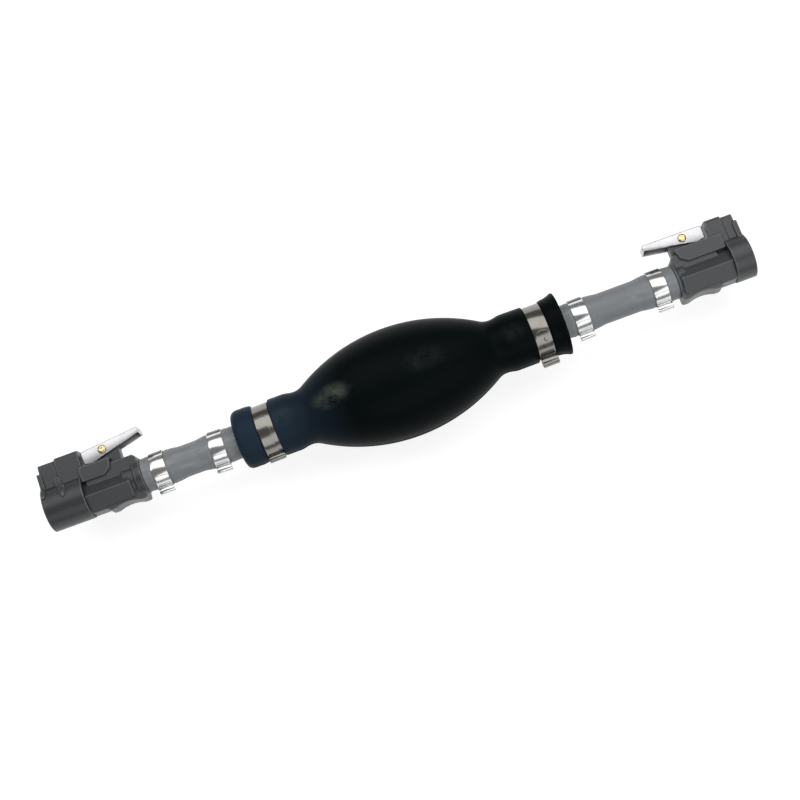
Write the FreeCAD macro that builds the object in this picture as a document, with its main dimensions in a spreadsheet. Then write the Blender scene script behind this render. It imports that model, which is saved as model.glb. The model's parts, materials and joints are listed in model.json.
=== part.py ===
"""Priming bulb pump of a portable fuel tank's hose, with a quick connector at each end.

Millimetres.  +X is the way the fuel flows, from the inlet connector (tank end) to the outlet
connector (engine end).  +Y is the side of the two latch levers, +Z is up, and the origin is on the
flow axis at the middle of the bulb.
"""
import FreeCAD, Part
import math
import os

import Sketcher
from FreeCAD import Placement, Rotation, Vector

FOLDER = "parts"

# ---------------------------------------------------------------- driving dimensions (the sheet)

DIMENSIONS = {
    # squeeze bulb
    "bulb_length": 166.0,
    "belly_radius": 27.5,
    "neck_radius": 13.5,
    "neck_inset": 33.0,
    "neck_fillet": 8.5,
    "rubber_wall": 3.0,
    "cuff_radius": 14.3,
    "inlet_rim_radius": 14.6,
    "inlet_rim_round": 3.6,
    "outlet_rim_radius": 15.0,
    "outlet_rim_round": 0.8,
    "lip_radius": 8.6,
    "lip_thickness": 1.0,
    "thumb_length": 76.0,
    "thumb_width": 34.0,
    "thumb_gap": 0.3,
    # steel bands on the bulb's cuffs
    "band_width": 8.0,
    "band_thickness": 0.55,
    "band_seat": 12.8,
    "inlet_band_inset": 15.2,
    "outlet_band_inset": 12.2,
    # check valves
    "head_inset": 31.0,
    "flow_bore": 3.5,
    "ball_radius": 4.76,
    "chamber_radius": 6.5,
    "ball_travel": 2.5,
    "guide_radius": 7.2,
    "guide_depth": 2.0,
    "inlet_chamber": 15.0,
    "outlet_chamber": 14.0,
    "check_wire": 0.4,
    "check_spring_radius": 3.9,
    # hose and its barbs
    "hose_radius": 7.75,
    "hose_swell": 8.3,
    "hose_bore": 4.75,
    "barb_bore": 5.55,
    "barb_crest": 5.5,
    "barb_root": 4.7,
    "barb_length": 20.0,
    "inlet_hose_length": 48.2,
    "outlet_hose_length": 58.0,
    "clip_width": 7.2,
    "clip_thickness": 0.5,
    "clip_inset": 8.5,
    "inlet_bulb_clip_inset": 10.0,
    "outlet_bulb_clip_inset": 9.0,
    "engine_clip_inset": 9.1,
    # quick connectors
    "collar_radius": 10.9,
    "box_half_width": 6.0,
    "cheek_half_width": 7.7,
    "rib_half_width": 7.2,
    "hood_wall": 1.6,
    "prong_bore": 3.97,
    "pin_bore": 3.2,
    "pin_height": 12.0,
    "grip_radius": 9.4,
    "grip_drop": 1.7,
    "flange_radius": 9.0,
    "fork_floor": 6.9,
    "cheek_gap": 0.4,
    "deck_height": 10.8,
    "deck_half_width": 6.4,
    "seal_radius": 4.6,
    "seal_wire": 0.9,
    "valve_chamber": 5.2,
    "valve_depth": 16.5,
    "valve_travel": 3.5,
    "stem_radius": 1.5,
    "inlet_collar_length": 20.5,
    "inlet_box_start": 2.0,
    "inlet_box_end": 22.5,
    "inlet_box_height": 22.4,
    "inlet_recess": 12.0,
    "inlet_grip_end": 44.0,
    "inlet_length": 49.3,
    "inlet_flange": 3.8,
    "inlet_cheek_end": 36.7,
    "inlet_pivot_x": 34.1,
    "inlet_pivot_y": 18.7,
    "inlet_latch_tilt": 5.4,
    "inlet_scallop": 28.6,
    "outlet_collar_length": 10.0,
    "outlet_box_start": 1.6,
    "outlet_box_end": 15.2,
    "outlet_box_height": 22.2,
    "outlet_recess": 5.0,
    "outlet_grip_end": 37.0,
    "outlet_length": 38.0,
    "outlet_flange": 1.0,
    "outlet_cheek_end": 33.8,
    "outlet_pivot_x": 27.6,
    "outlet_pivot_y": 18.2,
    "outlet_latch_tilt": 0.4,
    "outlet_scallop": 18.0,
    # latch levers
    "lever_inner": 10.8,
    "lever_outer": 19.8,
    "lever_top": 3.3,
    "lever_half_width": 4.3,
    "lever_steel": 0.9,
    "post_half_width": 3.0,
    "rivet_radius": 1.0,
    "rivet_head": 2.2,
    "latch_spring_x": 4.6,
    "latch_spring_radius": 1.5,
    "latch_wire": 0.45,
    # clearance round a piece that only touches, and round one that turns or slides
    "touch_gap": 0.05,
    "run_gap": 0.06,
}

COS_30 = math.cos(math.radians(30))
GUIDE_THICKNESS = 2.5
PLUNGER_HEAD = 1.7
SPRING_STEPS = 16
THROUGH = 20            # longer than any wall that a cross hole passes

# a clamp's ear: its height above the ring and its half width at the crown
BAND_EARS = {"inlet": (3.2, 3.4), "outlet": (5.6, 3.6)}
CLIP_EAR = (2.9, 2.9)
EAR_ROUND = 0.8
EAR_FOOT = 0.7          # how much wider the ear's foot is than its crown
WAIST_HEIGHT, WAIST_WIDTH = 0.35, 0.72   # shares of the ear's height and half width

# connector mouldings
HOOD_STEP = 0.42        # share of the box's length that its lower front part takes
MOUTH_RIB = ((0.6, 6), (3, 6), (3, 16), (2, 17), (0.6, 17))
HEX_CHAMFER = 1.3
GRIP_WIDTH, GRIP_DEPTH = 10.4, 11.3
LOBE, LOBE_ROUND = 3.4, 1.2
HOLLOW_LENGTH, HOLLOW_RADIUS = 13.2, 18
CHEEK_RISE = 1.3        # how far the cheeks stand above the guide pin's axis
BOSS_WALL = 0.9
POST_BACK, POST_FRONT = 3.2, 7.6
PRESS_FIT = 0.02

# port valves and their springs
PORT_SPRING_RADIUS, PORT_WIRE, PORT_COILS = 3.4, 0.6, 4
LATCH_COILS = 6

# latch levers: depth of the side plates at the inner end, at the heel and at the tip
INNER_DEPTH, HEEL_DEPTH, TIP_DEPTH = 3.2, 4.1, 0.2
HEEL_X = 6.4
LEVER_ROUND = 1.2
HEAD_HEIGHT, HEAD_CHAMFER = 0.8, 0.3


class Size:
    """A length: its value now, and the formula over the sheet's cells that keeps it bound."""

    def __init__(self, value, formula):
        self.value = value
        self.formula = formula

    def __add__(self, other):
        other = size(other)
        return Size(self.value + other.value, f"({self.formula} + {other.formula})")

    def __sub__(self, other):
        other = size(other)
        return Size(self.value - other.value, f"({self.formula} - {other.formula})")

    def __mul__(self, other):
        other = size(other)
        return Size(self.value * other.value, f"({self.formula} * {other.formula})")

    def __truediv__(self, other):
        other = size(other)
        return Size(self.value / other.value, f"({self.formula} / {other.formula})")

    def __neg__(self):
        return Size(-self.value, f"(0 - {self.formula})")

    def __radd__(self, other):
        return size(other) + self

    def __rsub__(self, other):
        return size(other) - self

    def __rmul__(self, other):
        return size(other) * self

    def root(self):
        return Size(math.sqrt(self.value), f"sqrt({self.formula})")


def size(value):
    """A Size as it is, or a plain number as a Size."""
    return value if isinstance(value, Size) else Size(float(value), f"({value:.9g})")


def fill_sheet(doc):
    """Writes the driving dimensions to the sheet and returns them as Sizes by name."""
    sheet = doc.addObject("Spreadsheet::Sheet", "Dims")
    for row, (name, value) in enumerate(DIMENSIONS.items(), start=1):
        sheet.set(f"A{row}", name)
        sheet.set(f"B{row}", str(value))
        sheet.setAlias(f"B{row}", name)
    doc.recompute()
    return {name: Size(value, f"Dims.{name}") for name, value in DIMENSIONS.items()}


DOC = FreeCAD.newDocument("PrimingBulb")
DIMS = fill_sheet(DOC)
PARTS = []


def dim(name):
    return DIMS[name]


def bind(item, path, value):
    """Sets one property of an object from a Size, and binds it to the sheet."""
    item.setExpression(path, size(value).formula)


# ---------------------------------------------------------------- drawing and features

LEFT, RIGHT = 1, -1


def arc_between(start, end, radius, side):
    """A sketch arc, which always runs counter-clockwise, and the ends that start and end become."""
    chord = end - start
    normal = Vector(-chord.y, chord.x, 0).normalize() * side
    reach = math.sqrt(max(radius ** 2 - chord.Length ** 2 / 4, 0))
    centre = (start + end) / 2 - normal * reach
    first, last = (end, start) if side == LEFT else (start, end)
    angles = [math.atan2(point.y - centre.y, point.x - centre.x) for point in (first, last)]
    circle = Part.Circle(centre, Vector(0, 0, 1), radius)
    ends = (2, 1) if side == LEFT else (1, 2)
    return Part.ArcOfCircle(circle, *angles), ends


def draw(sketch, outline):
    """Adds a closed outline of points (x, y) or (x, y, radius, side) to a sketch, fully bound.

    A radius bends the edge that arrives at its point into an arc, bulging to the left or the right
    of the way it is walked.
    """
    corners = [tuple(size(value) for value in point[:2]) for point in outline]
    places = [Vector(x.value, y.value, 0) for x, y in corners]
    edges = []
    for index, point in enumerate(outline):
        start, end = places[index - 1], places[index]
        if len(point) == 2:
            shape, ends = Part.LineSegment(start, end), (1, 2)
        else:
            shape, ends = arc_between(start, end, size(point[2]).value, point[3])
        edges.append((sketch.addGeometry(shape, False), *ends))
    bound = []
    for index, (edge, _, last) in enumerate(edges):
        following, first, _ = edges[(index + 1) % len(edges)]
        sketch.addConstraint(Sketcher.Constraint("Coincident", edge, last, following, first))
        for kind, value in zip(("DistanceX", "DistanceY"), corners[index]):
            bound.append((Sketcher.Constraint(kind, -1, 1, edge, last, value.value), value))
        if len(outline[index]) > 2:
            radius = size(outline[index][2])
            bound.append((Sketcher.Constraint("Radius", edge, radius.value), radius))
    constrain(sketch, bound)


def draw_circle(sketch, x, y, radius):
    """Adds a circle to a sketch, fully bound."""
    x, y, radius = size(x), size(y), size(radius)
    circle = Part.Circle(Vector(x.value, y.value, 0), Vector(0, 0, 1), radius.value)
    edge = sketch.addGeometry(circle, False)
    constrain(sketch, [
        (Sketcher.Constraint("DistanceX", -1, 1, edge, 3, x.value), x),
        (Sketcher.Constraint("DistanceY", -1, 1, edge, 3, y.value), y),
        (Sketcher.Constraint("Radius", edge, radius.value), radius),
    ])


def constrain(sketch, bound):
    """Adds (constraint, Size) pairs and binds each constraint's number to its Size."""
    first = sketch.ConstraintCount
    sketch.addConstraint([constraint for constraint, _ in bound])
    for index, (_, value) in enumerate(bound, start=first):
        sketch.setExpression(f"Constraints[{index}]", value.formula)


class Piece:
    """One sub-part: a PartDesign body that features are added to in order."""

    def __init__(self, label, part=True):
        self.body = DOC.addObject("PartDesign::Body", label)
        self.body.Label = label
        self.steps = 0
        if part:
            PARTS.append(self.body)

    def sketch(self, plane, outlines, circles, offset):
        """A sketch on one of the body's own origin planes, moved along its normal by offset."""
        self.steps += 1
        sketch = self.body.newObject("Sketcher::SketchObject", f"{self.body.Name}_sketch{self.steps}")
        origin = next(item for item in self.body.Origin.OriginFeatures if item.Role == plane)
        sketch.AttachmentSupport = [(origin, "")]
        sketch.MapMode = "FlatFace"
        bind(sketch, "AttachmentOffset.Base.z", offset)
        for outline in outlines:
            draw(sketch, outline)
        for circle in circles:
            draw_circle(sketch, *circle)
        return sketch

    def feature(self, kind, sketch):
        """A feature made from a sketch; it must change the body's volume."""
        before = self.body.Shape.Volume if self.body.Tip else 0.0
        feature = self.body.newObject(f"PartDesign::{kind}", f"{self.body.Name}_{kind}{self.steps}")
        feature.Profile = sketch
        return feature, before

    def finish(self, feature, before):
        """Recomputes, and stops if the feature left the body as it was."""
        DOC.recompute()
        if abs(self.body.Shape.Volume - before) < 1e-6:
            raise RuntimeError(f"{feature.Name} changes nothing")
        return self

    def turn(self, *outlines, cut=False):
        """Adds, or cuts, outlines of (x, radius) turned about the X axis."""
        sketch = self.sketch("XY_Plane", outlines, (), 0)
        feature, before = self.feature("Groove" if cut else "Revolution", sketch)
        feature.ReferenceAxis = (sketch, ["H_Axis"])
        feature.Angle = 360
        return self.finish(feature, before)

    def across(self, width, outlines=(), circles=(), cut=False):
        """Adds, or cuts, outlines of (x, y) as thick as width, half on each side of z = 0."""
        sketch = self.sketch("XY_Plane", outlines, circles, 0)
        feature, before = self.feature("Pocket" if cut else "Pad", sketch)
        feature.SideType = "Symmetric"
        bind(feature, "Length", width)
        return self.finish(feature, before)

    def along(self, start, end, outlines=(), circles=(), cut=False):
        """Adds, or cuts, outlines of (y, z) from x = start to x = end."""
        sketch = self.sketch("YZ_Plane", outlines, circles, start)
        feature, before = self.feature("Pocket" if cut else "Pad", sketch)
        feature.Reversed = cut
        bind(feature, "Length", size(end) - start)
        return self.finish(feature, before)

    def dress(self, kind, amount, choose):
        """Fillets or chamfers the edges that choose picks."""
        base = self.body.Tip
        names = [f"Edge{n}" for n, edge in enumerate(base.Shape.Edges, start=1) if choose(edge)]
        before = self.body.Shape.Volume
        self.steps += 1
        feature = self.body.newObject(f"PartDesign::{kind}", f"{self.body.Name}_{kind}{self.steps}")
        feature.Base = (base, names)
        bind(feature, "Radius" if kind == "Fillet" else "Size", amount)
        return self.finish(feature, before)

    def place(self, x, y=0, rotation=Rotation()):
        place(self.body, x, y, rotation)
        return self


def place(item, x, y=0, rotation=Rotation()):
    """Places an object, its position bound to the sheet."""
    item.Placement = Placement(Vector(size(x).value, size(y).value, 0), rotation)
    bind(item, "Placement.Base.x", x)
    bind(item, "Placement.Base.y", y)


def box(x0, y0, x1, y1):
    return [(x0, y0), (x1, y0), (x1, y1), (x0, y1)]


def spring(label, radius, wire, length, turns, x, y=0, rotation=Rotation()):
    """A coil spring of the given mean radius that starts at (x, y) and runs along rotation's Z.

    Its wire is straight between sixteen places round each turn, which keeps its surface light.
    """
    radius, wire_radius = size(radius).value, size(wire).value / 2
    rise = (size(length) - wire).value
    steps = turns * SPRING_STEPS
    path = [
        Vector(radius * math.cos(math.tau * step / SPRING_STEPS),
               radius * math.sin(math.tau * step / SPRING_STEPS),
               rise * step / steps)
        for step in range(steps + 1)
    ]
    section = Part.Circle(path[0], path[1] - path[0], wire_radius)
    coil = DOC.addObject("Part::Feature", label)
    coil.Label = label
    coil.Shape = Part.makePolygon(path).makePipeShell([Part.Wire(section.toShape())], True, False, 1)
    place(coil, x, y, rotation)
    PARTS.append(coil)


# ---------------------------------------------------------------- the bulb and what clamps it

ALONG_X = Rotation(Vector(0, 1, 0), 90)
ALONG_Y = Rotation(Vector(1, 0, 0), -90)
AGAINST_X = Rotation(Vector(0, 1, 0), 180)
TONGUE_ROOT, TONGUE_TIP = 166, 115
EAR_LEAN = -13

HALF_BULB = dim("bulb_length") / 2
HEAD_FRONT = HALF_BULB - dim("head_inset")


def mirrored(path):
    """A path on the other side of x = 0, walked the other way; each arc keeps its side."""
    bends = [point[2:] for point in path[1:]] + [()]
    turned = [(-point[0], point[1], *bend) for point, bend in zip(path, bends)]
    return turned[::-1]


def belly_path(inward):
    """Half of the bulb's belly and its neck, drawn a distance inward of the rubber's outside.

    The belly's arc and the neck's hollow arc touch each other and are level at the neck.
    """
    neck_x = HALF_BULB - dim("neck_inset")
    neck = dim("neck_radius") - inward
    hollow = dim("neck_fillet") + inward
    drop = neck + hollow - (dim("belly_radius") - inward)
    arc = (neck_x * neck_x + drop * drop - hollow * hollow) / (2 * (hollow - drop))
    share = arc / (arc + hollow)
    touch = (neck_x * share, dim("belly_radius") - inward - arc + (arc + drop) * share)
    return [(*touch, arc, LEFT), (neck_x, neck, hollow, RIGHT)]


def head_path(band_x, gap):
    """The outside of a valve's head: bead, groove under the band, land. gap is kept off the rubber."""
    wall = dim("rubber_wall")
    bead = dim("cuff_radius") - wall - gap
    groove = dim("band_seat") - wall - gap
    half = dim("band_width") / 2
    flange = HALF_BULB - dim("lip_thickness")
    return [
        (HEAD_FRONT, bead),
        (band_x - half - 1.7, bead),
        (band_x - half - 0.4, groove),
        (band_x + half + 0.4, groove),
        (band_x + half + 1.4, bead + 0.3),
        (flange, bead + 0.3),
    ]


def cuff_path(band_x, rim, rim_round):
    """The outside of one cuff, from the neck to the lip that closes on the hose."""
    half = dim("band_width") / 2
    return [
        (HEAD_FRONT + 2, dim("cuff_radius") - 0.1),
        (HEAD_FRONT + 5, dim("cuff_radius") - 0.1),
        (band_x - half - 0.8, dim("cuff_radius")),
        (band_x - half - 0.2, dim("band_seat")),
        (band_x + half + 0.2, dim("band_seat")),
        (band_x + half + 0.8, dim("cuff_radius")),
        (HALF_BULB - rim_round, rim),
        (HALF_BULB, rim - rim_round, rim_round, LEFT),
        (HALF_BULB, dim("lip_radius")),
    ]


def band_x(side):
    return HALF_BULB - dim(f"{side}_band_inset")


def bulb_outline():
    """The rubber's section: outside from the inlet lip to the outlet lip, inside back again."""
    outside, inside = {}, {}
    for side in ("inlet", "outlet"):
        rim, rim_round = dim(f"{side}_rim_radius"), dim(f"{side}_rim_round")
        outside[side] = belly_path(0) + cuff_path(band_x(side), rim, rim_round)
        inside[side] = belly_path(dim("rubber_wall"))
        inside[side] += [(HEAD_FRONT, dim("neck_radius") - dim("rubber_wall"))]
        inside[side] += head_path(band_x(side), 0)
        inside[side] += [(HALF_BULB - dim("lip_thickness"), dim("lip_radius"))]
    over = mirrored(outside["inlet"]) + outside["outlet"]
    under = mirrored(inside["inlet"]) + inside["outlet"]
    return over + backwards(under)


def backwards(path):
    """A path walked the other way: each arc moves to its other end and bulges to the other side."""
    bends = [point[2:] for point in path[1:]] + [()]
    turned = [
        (point[0], point[1], bend[0], -bend[1]) if bend else (point[0], point[1])
        for point, bend in zip(path, bends)
    ]
    return turned[::-1]


def thumb_prism(name, gap):
    """An upright oval prism through the top of the bulb, wider by gap all round."""
    oval = DOC.addObject("Part::Ellipse", f"{name}_oval")
    bind(oval, "MajorRadius", dim("thumb_length") / 2 + gap)
    bind(oval, "MinorRadius", dim("thumb_width") / 2 + gap)
    prism = DOC.addObject("Part::Extrusion", name)
    prism.Base = oval
    prism.DirMode = "Custom"
    prism.Dir = Vector(0, 0, 1)
    prism.Solid = True
    bind(prism, "LengthFwd", dim("belly_radius") + 5)
    return prism


def make_bulb():
    """The rubber bulb, and the patch of its top wall that a thumb pushes in."""
    rubber = Piece("bulb_rubber", part=False).turn(bulb_outline()).body
    shell = DOC.addObject("Part::Cut", "squeeze_bulb")
    shell.Base = rubber
    shell.Tool = thumb_prism("thumb_hole", dim("thumb_gap"))
    patch = DOC.addObject("Part::Common", "bulb_thumb_wall")
    patch.Base = rubber
    patch.Tool = thumb_prism("thumb_patch", 0)
    PARTS.extend([shell, patch])


def make_band(label, x, seat, width, steel, ear, turn):
    """A one-ear steel clamp round the X axis, its ear at -Y before it is turned by turn degrees.

    ear gives the ear's height above the band and its half width at the crown.
    """
    height, half = ear
    inner, outer = seat + dim("touch_gap"), seat + dim("touch_gap") + steel
    ring = [(-width / 2, inner), (width / 2, inner), (width / 2, outer), (-width / 2, outer)]
    crown = outer + height
    ear_outside = [
        (-outer + steel / 2, -half - EAR_FOOT),
        (-outer - height * WAIST_HEIGHT, -half * WAIST_WIDTH),
        (-crown + EAR_ROUND, -half),
        (-crown, -half + EAR_ROUND, EAR_ROUND, LEFT),
        (-crown, half - EAR_ROUND),
        (-crown + EAR_ROUND, half, EAR_ROUND, LEFT),
        (-outer - height * WAIST_HEIGHT, half * WAIST_WIDTH),
        (-outer + steel / 2, half + EAR_FOOT),
    ]
    ear_inside = [
        (-outer - steel * 0.4, half - 0.3),
        (-outer - height * 0.36, half * WAIST_WIDTH - steel),
        (-crown + steel + 0.4, half - steel * 1.2),
        (-crown + steel + 0.4, -half + steel * 1.2),
        (-outer - height * 0.36, -half * WAIST_WIDTH + steel),
        (-outer - steel * 0.4, -half + 0.3),
    ]
    piece = Piece(label).turn(ring)
    piece.along(-width / 2, width / 2, [ear_outside, ear_inside])
    piece.place(x, 0, Rotation(Vector(1, 0, 0), turn))
    return piece


def polar(radius, degrees):
    """A point (y, z) at a radius from the X axis; 90 degrees is straight up, 180 is at -Y."""
    angle = math.radians(degrees)
    return radius * math.cos(angle), radius * math.sin(angle)


def add_tongue(piece, seat, width, steel):
    """The band's second layer: a tongue that laps the ring and ends in an arch."""
    inner = seat + dim("touch_gap") + steel
    outer = inner + steel
    piece.along(-width / 2, width / 2, [[
        polar(inner, TONGUE_ROOT),
        (*polar(inner, TONGUE_TIP), inner, LEFT),
        polar(outer, TONGUE_TIP),
        (*polar(outer, TONGUE_ROOT), outer, RIGHT),
    ]])
    tip_y = polar(outer, TONGUE_TIP)[0].value

    def at_tip(edge):
        return edge.Length < 1 and abs(edge.CenterOfMass.y - tip_y) < 0.5

    piece.dress("Fillet", width / 2 - 0.3, at_tip)


# ---------------------------------------------------------------- check valves and hoses

BARB_TEETH = 4


def barb_path(root_x):
    """The outside of a hose barb, from its root at root_x to its tip, and back to the axis."""
    pitch = dim("barb_length") / BARB_TEETH
    path = []
    for tooth in range(BARB_TEETH):
        path.append((root_x + pitch * (tooth + 0.25), dim("barb_root")))
        path.append((root_x + pitch * (tooth + 0.25), dim("barb_crest")))
        path.append((root_x + pitch * (tooth + 1), dim("barb_root")))
    tip = root_x + dim("barb_length")
    return [(root_x, dim("barb_root"))] + path + [(tip, 0)]


def make_valve_body(side):
    """A valve body held in a cuff: head, hose barb and bores. Drawn with its barb along +X."""
    head = head_path(band_x(side), dim("touch_gap"))
    flange = HALF_BULB - dim("lip_thickness")
    outside = [(HEAD_FRONT, 0)] + head + [(flange, dim("lip_radius") - dim("touch_gap"))]
    outside += [(HALF_BULB, dim("lip_radius") - dim("touch_gap"))] + barb_path(HALF_BULB)
    piece = Piece(f"{side}_valve_body").turn(outside)
    chamber_end = HEAD_FRONT + dim("guide_depth") + dim(f"{side}_chamber")
    piece.turn([
        (HEAD_FRONT - 1, 0),
        (HEAD_FRONT - 1, dim("guide_radius")),
        (HEAD_FRONT + dim("guide_depth"), dim("guide_radius")),
        (HEAD_FRONT + dim("guide_depth"), dim("chamber_radius")),
        (chamber_end, dim("chamber_radius")),
        (chamber_end, dim("flow_bore")),
        (HALF_BULB + dim("barb_length") + 1, dim("flow_bore")),
        (HALF_BULB + dim("barb_length") + 1, 0),
    ], cut=True)
    if side == "inlet":
        piece.place(0, 0, AGAINST_X)
    return piece


def disc_with_ports(piece, radius, thickness, ports_at, port, centre):
    """A disc from x = 0 with a central bore and a ring of four flow ports."""
    piece.along(0, thickness, circles=[(0, 0, radius)])
    holes = [(0, 0, centre)]
    if port:
        holes += [(ports_at, 0, port), (-ports_at, 0, port), (0, ports_at, port), (0, -ports_at, port)]
    piece.along(-1, thickness + 1, circles=holes, cut=True)
    return piece


def make_ball(label, x):
    ball = DOC.addObject("Part::Sphere", label)
    bind(ball, "Radius", dim("ball_radius"))
    place(ball, x)
    PARTS.append(ball)


def make_check_valves():
    """Inlet: seat moulded in the body, cage on the bulb's side. Outlet: seat ring on the bulb's side."""
    for side in ("inlet", "outlet"):
        make_valve_body(side)
    seat_reach = (dim("ball_radius") * dim("ball_radius") - dim("flow_bore") * dim("flow_bore")).root()
    seat_reach = seat_reach + dim("touch_gap") * 2
    ring_radius = dim("guide_radius") - dim("touch_gap")
    lean = dim("check_spring_radius") - dim("check_wire") / 2
    back_reach = (dim("ball_radius") * dim("ball_radius") - lean * lean).root() + dim("check_wire") / 2
    guide_back = HEAD_FRONT + dim("guide_depth")

    inlet_seat = -(guide_back + dim("inlet_chamber"))
    inlet_ball = inlet_seat + seat_reach
    make_ball("inlet_check_ball", inlet_ball)
    cage = disc_with_ports(Piece("inlet_valve_cage"), ring_radius, dim("guide_depth"), 4.4, 1.6, 1.2)
    cage.place(-guide_back)
    start = inlet_ball + back_reach
    length = -guide_back - start - dim("touch_gap")
    spring("inlet_check_spring", dim("check_spring_radius"), dim("check_wire"), length, 4,
           start, 0, ALONG_X)

    ring = disc_with_ports(Piece("outlet_valve_seat"), ring_radius, dim("guide_depth"), 0, 0,
                           dim("flow_bore"))
    ring.place(HEAD_FRONT)
    outlet_ball = guide_back + seat_reach
    make_ball("outlet_check_ball", outlet_ball)
    start = outlet_ball + back_reach
    length = guide_back + dim("outlet_chamber") - start - dim("touch_gap")
    spring("outlet_check_spring", dim("check_spring_radius"), dim("check_wire"), length, 4,
           start, 0, ALONG_X)


def make_hose(side):
    """A rubber hose stub, swollen over the barb at each end. Drawn from the bulb along +X."""
    start = HALF_BULB + dim("touch_gap")
    end = HALF_BULB + dim(f"{side}_hose_length")
    barb = dim("barb_length") + 0.5
    swollen = dim("barb_length") - 1
    taper = 3
    piece = Piece(f"{side}_hose").turn([
        (start, dim("barb_bore")),
        (start, dim("hose_swell")),
        (start + swollen, dim("hose_swell")),
        (start + swollen + taper, dim("hose_radius")),
        (end - swollen - taper, dim("hose_radius")),
        (end - swollen, dim("hose_swell")),
        (end, dim("hose_swell")),
        (end, dim("barb_bore")),
        (end - barb, dim("barb_bore")),
        (end - barb - 1, dim("hose_bore")),
        (start + barb + 1, dim("hose_bore")),
        (start + barb, dim("barb_bore")),
    ])
    if side == "inlet":
        piece.place(0, 0, AGAINST_X)


def make_clamps():
    """Two bands on the bulb's cuffs and a clip over each of the four barbs."""
    inlet_x, outlet_x = -band_x("inlet"), band_x("outlet")
    make_band("inlet_bulb_clamp", inlet_x, dim("band_seat"), dim("band_width"),
              dim("band_thickness"), BAND_EARS["inlet"], EAR_LEAN)
    band = make_band("outlet_bulb_clamp", outlet_x, dim("band_seat"), dim("band_width"),
                     dim("band_thickness"), BAND_EARS["outlet"], EAR_LEAN)
    add_tongue(band, dim("band_seat"), dim("band_width"), dim("band_thickness"))
    places = {
        "inlet_hose_tank_clip": -(HALF_BULB + dim("inlet_hose_length") - dim("clip_inset")),
        "inlet_hose_bulb_clip": -(HALF_BULB + dim("inlet_bulb_clip_inset")),
        "outlet_hose_bulb_clip": HALF_BULB + dim("outlet_bulb_clip_inset"),
        "outlet_hose_engine_clip": HALF_BULB + dim("outlet_hose_length") - dim("engine_clip_inset"),
    }
    for label, x in places.items():
        make_band(label, x, dim("hose_swell"), dim("clip_width"), dim("clip_thickness"), CLIP_EAR,
                  EAR_LEAN)


# ---------------------------------------------------------------- quick connectors

def connector_x(side, local):
    """A length along a connector, counted inward from its mouth, as a place on the X axis."""
    reach = HALF_BULB + dim(f"{side}_hose_length") + dim(f"{side}_length") - local
    return -reach if side == "inlet" else reach


def at_connector(piece, side):
    """Puts a piece drawn with x counted inward from the mouth at its end of the pump."""
    piece.place(connector_x(side, 0), 0, Rotation() if side == "inlet" else AGAINST_X)


def hood_box(bottom, top, half, rounding):
    """A box section (y, z) with its two top corners rounded."""
    return [
        (bottom, -half),
        (bottom, half),
        (top - rounding, half),
        (top, half - rounding, rounding, LEFT),
        (top, rounding - half),
        (top - rounding, -half, rounding, LEFT),
    ]


def stadium(x0, y0, x1, y1):
    """An upright slot outline with round ends."""
    radius = (x1 - x0) / 2
    middle = x0 + radius
    return [
        (x1, y0 + radius, radius, RIGHT),
        (x1, y1 - radius),
        (middle, y1, radius, RIGHT),
        (x0, y1 - radius, radius, RIGHT),
        (x0, y0 + radius),
        (middle, y0, radius, RIGHT),
    ]


def make_hood(side):
    """The hood round the mouth: a collar for the fuel prong under a box for the guide pin."""
    wall, half = dim("hood_wall"), dim("box_half_width")
    collar_end, box_end = dim(f"{side}_collar_length"), dim(f"{side}_box_end")
    start, top = dim(f"{side}_box_start"), dim(f"{side}_box_height")
    recess = dim(f"{side}_recess")
    step = start + (box_end - start) * HOOD_STEP
    piece = Piece(f"{side}_connector_hood")
    piece.along(0, collar_end, circles=[(0, 0, dim("collar_radius"))])
    piece.along(start, step, [hood_box(2, top - 1, half, 1.6)])
    piece.along(step, box_end, [hood_box(7, top, half + 0.4, 2.2)])
    rib = dim("rib_half_width") * 2
    piece.across(rib, [list(MOUTH_RIB)])
    if side == "inlet":
        piece.across(rib, [stadium(8.1, 5.1, 11.2, 12.8)])
    inner, inner_half = dim("collar_radius") - wall, half - wall
    shoulder = (inner * inner - inner_half * inner_half).root()
    ceiling = top - 1 - wall
    piece.along(-1, recess, [[
        (shoulder, inner_half, inner, LEFT),
        (ceiling, inner_half),
        (ceiling, -inner_half),
        (shoulder, -inner_half),
        (-inner, 0, inner, LEFT),
    ]], cut=True)
    piece.along(recess - 1, collar_end + 1, circles=[(0, 0, dim("prong_bore"))], cut=True)
    piece.along(recess - 1, box_end + 1, circles=[(dim("pin_height"), 0, dim("pin_bore"))], cut=True)
    at_connector(piece, side)


def hexagon(centre, radius):
    """A hexagon (y, z) with a corner straight up and flats at its low and high y."""
    flat = radius * COS_30
    return [
        (centre, radius),
        (centre + flat, radius / 2),
        (centre + flat, -radius / 2),
        (centre, -radius),
        (centre - flat, -radius / 2),
        (centre - flat, radius / 2),
    ]


def finger_grip(start):
    """Two finger lobes with a hollow between them, under the hexagon (x, y)."""
    low = -GRIP_DEPTH
    end = start + LOBE * 2 + HOLLOW_LENGTH
    return [
        (start, low + 5),
        (start, low + LOBE_ROUND),
        (start + LOBE_ROUND, low, LOBE_ROUND, RIGHT),
        (start + LOBE, low),
        (start + LOBE + HOLLOW_LENGTH, low, HOLLOW_RADIUS, LEFT),
        (end - LOBE_ROUND, low),
        (end, low + LOBE_ROUND, LOBE_ROUND, RIGHT),
        (end, low + 5),
    ]


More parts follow.
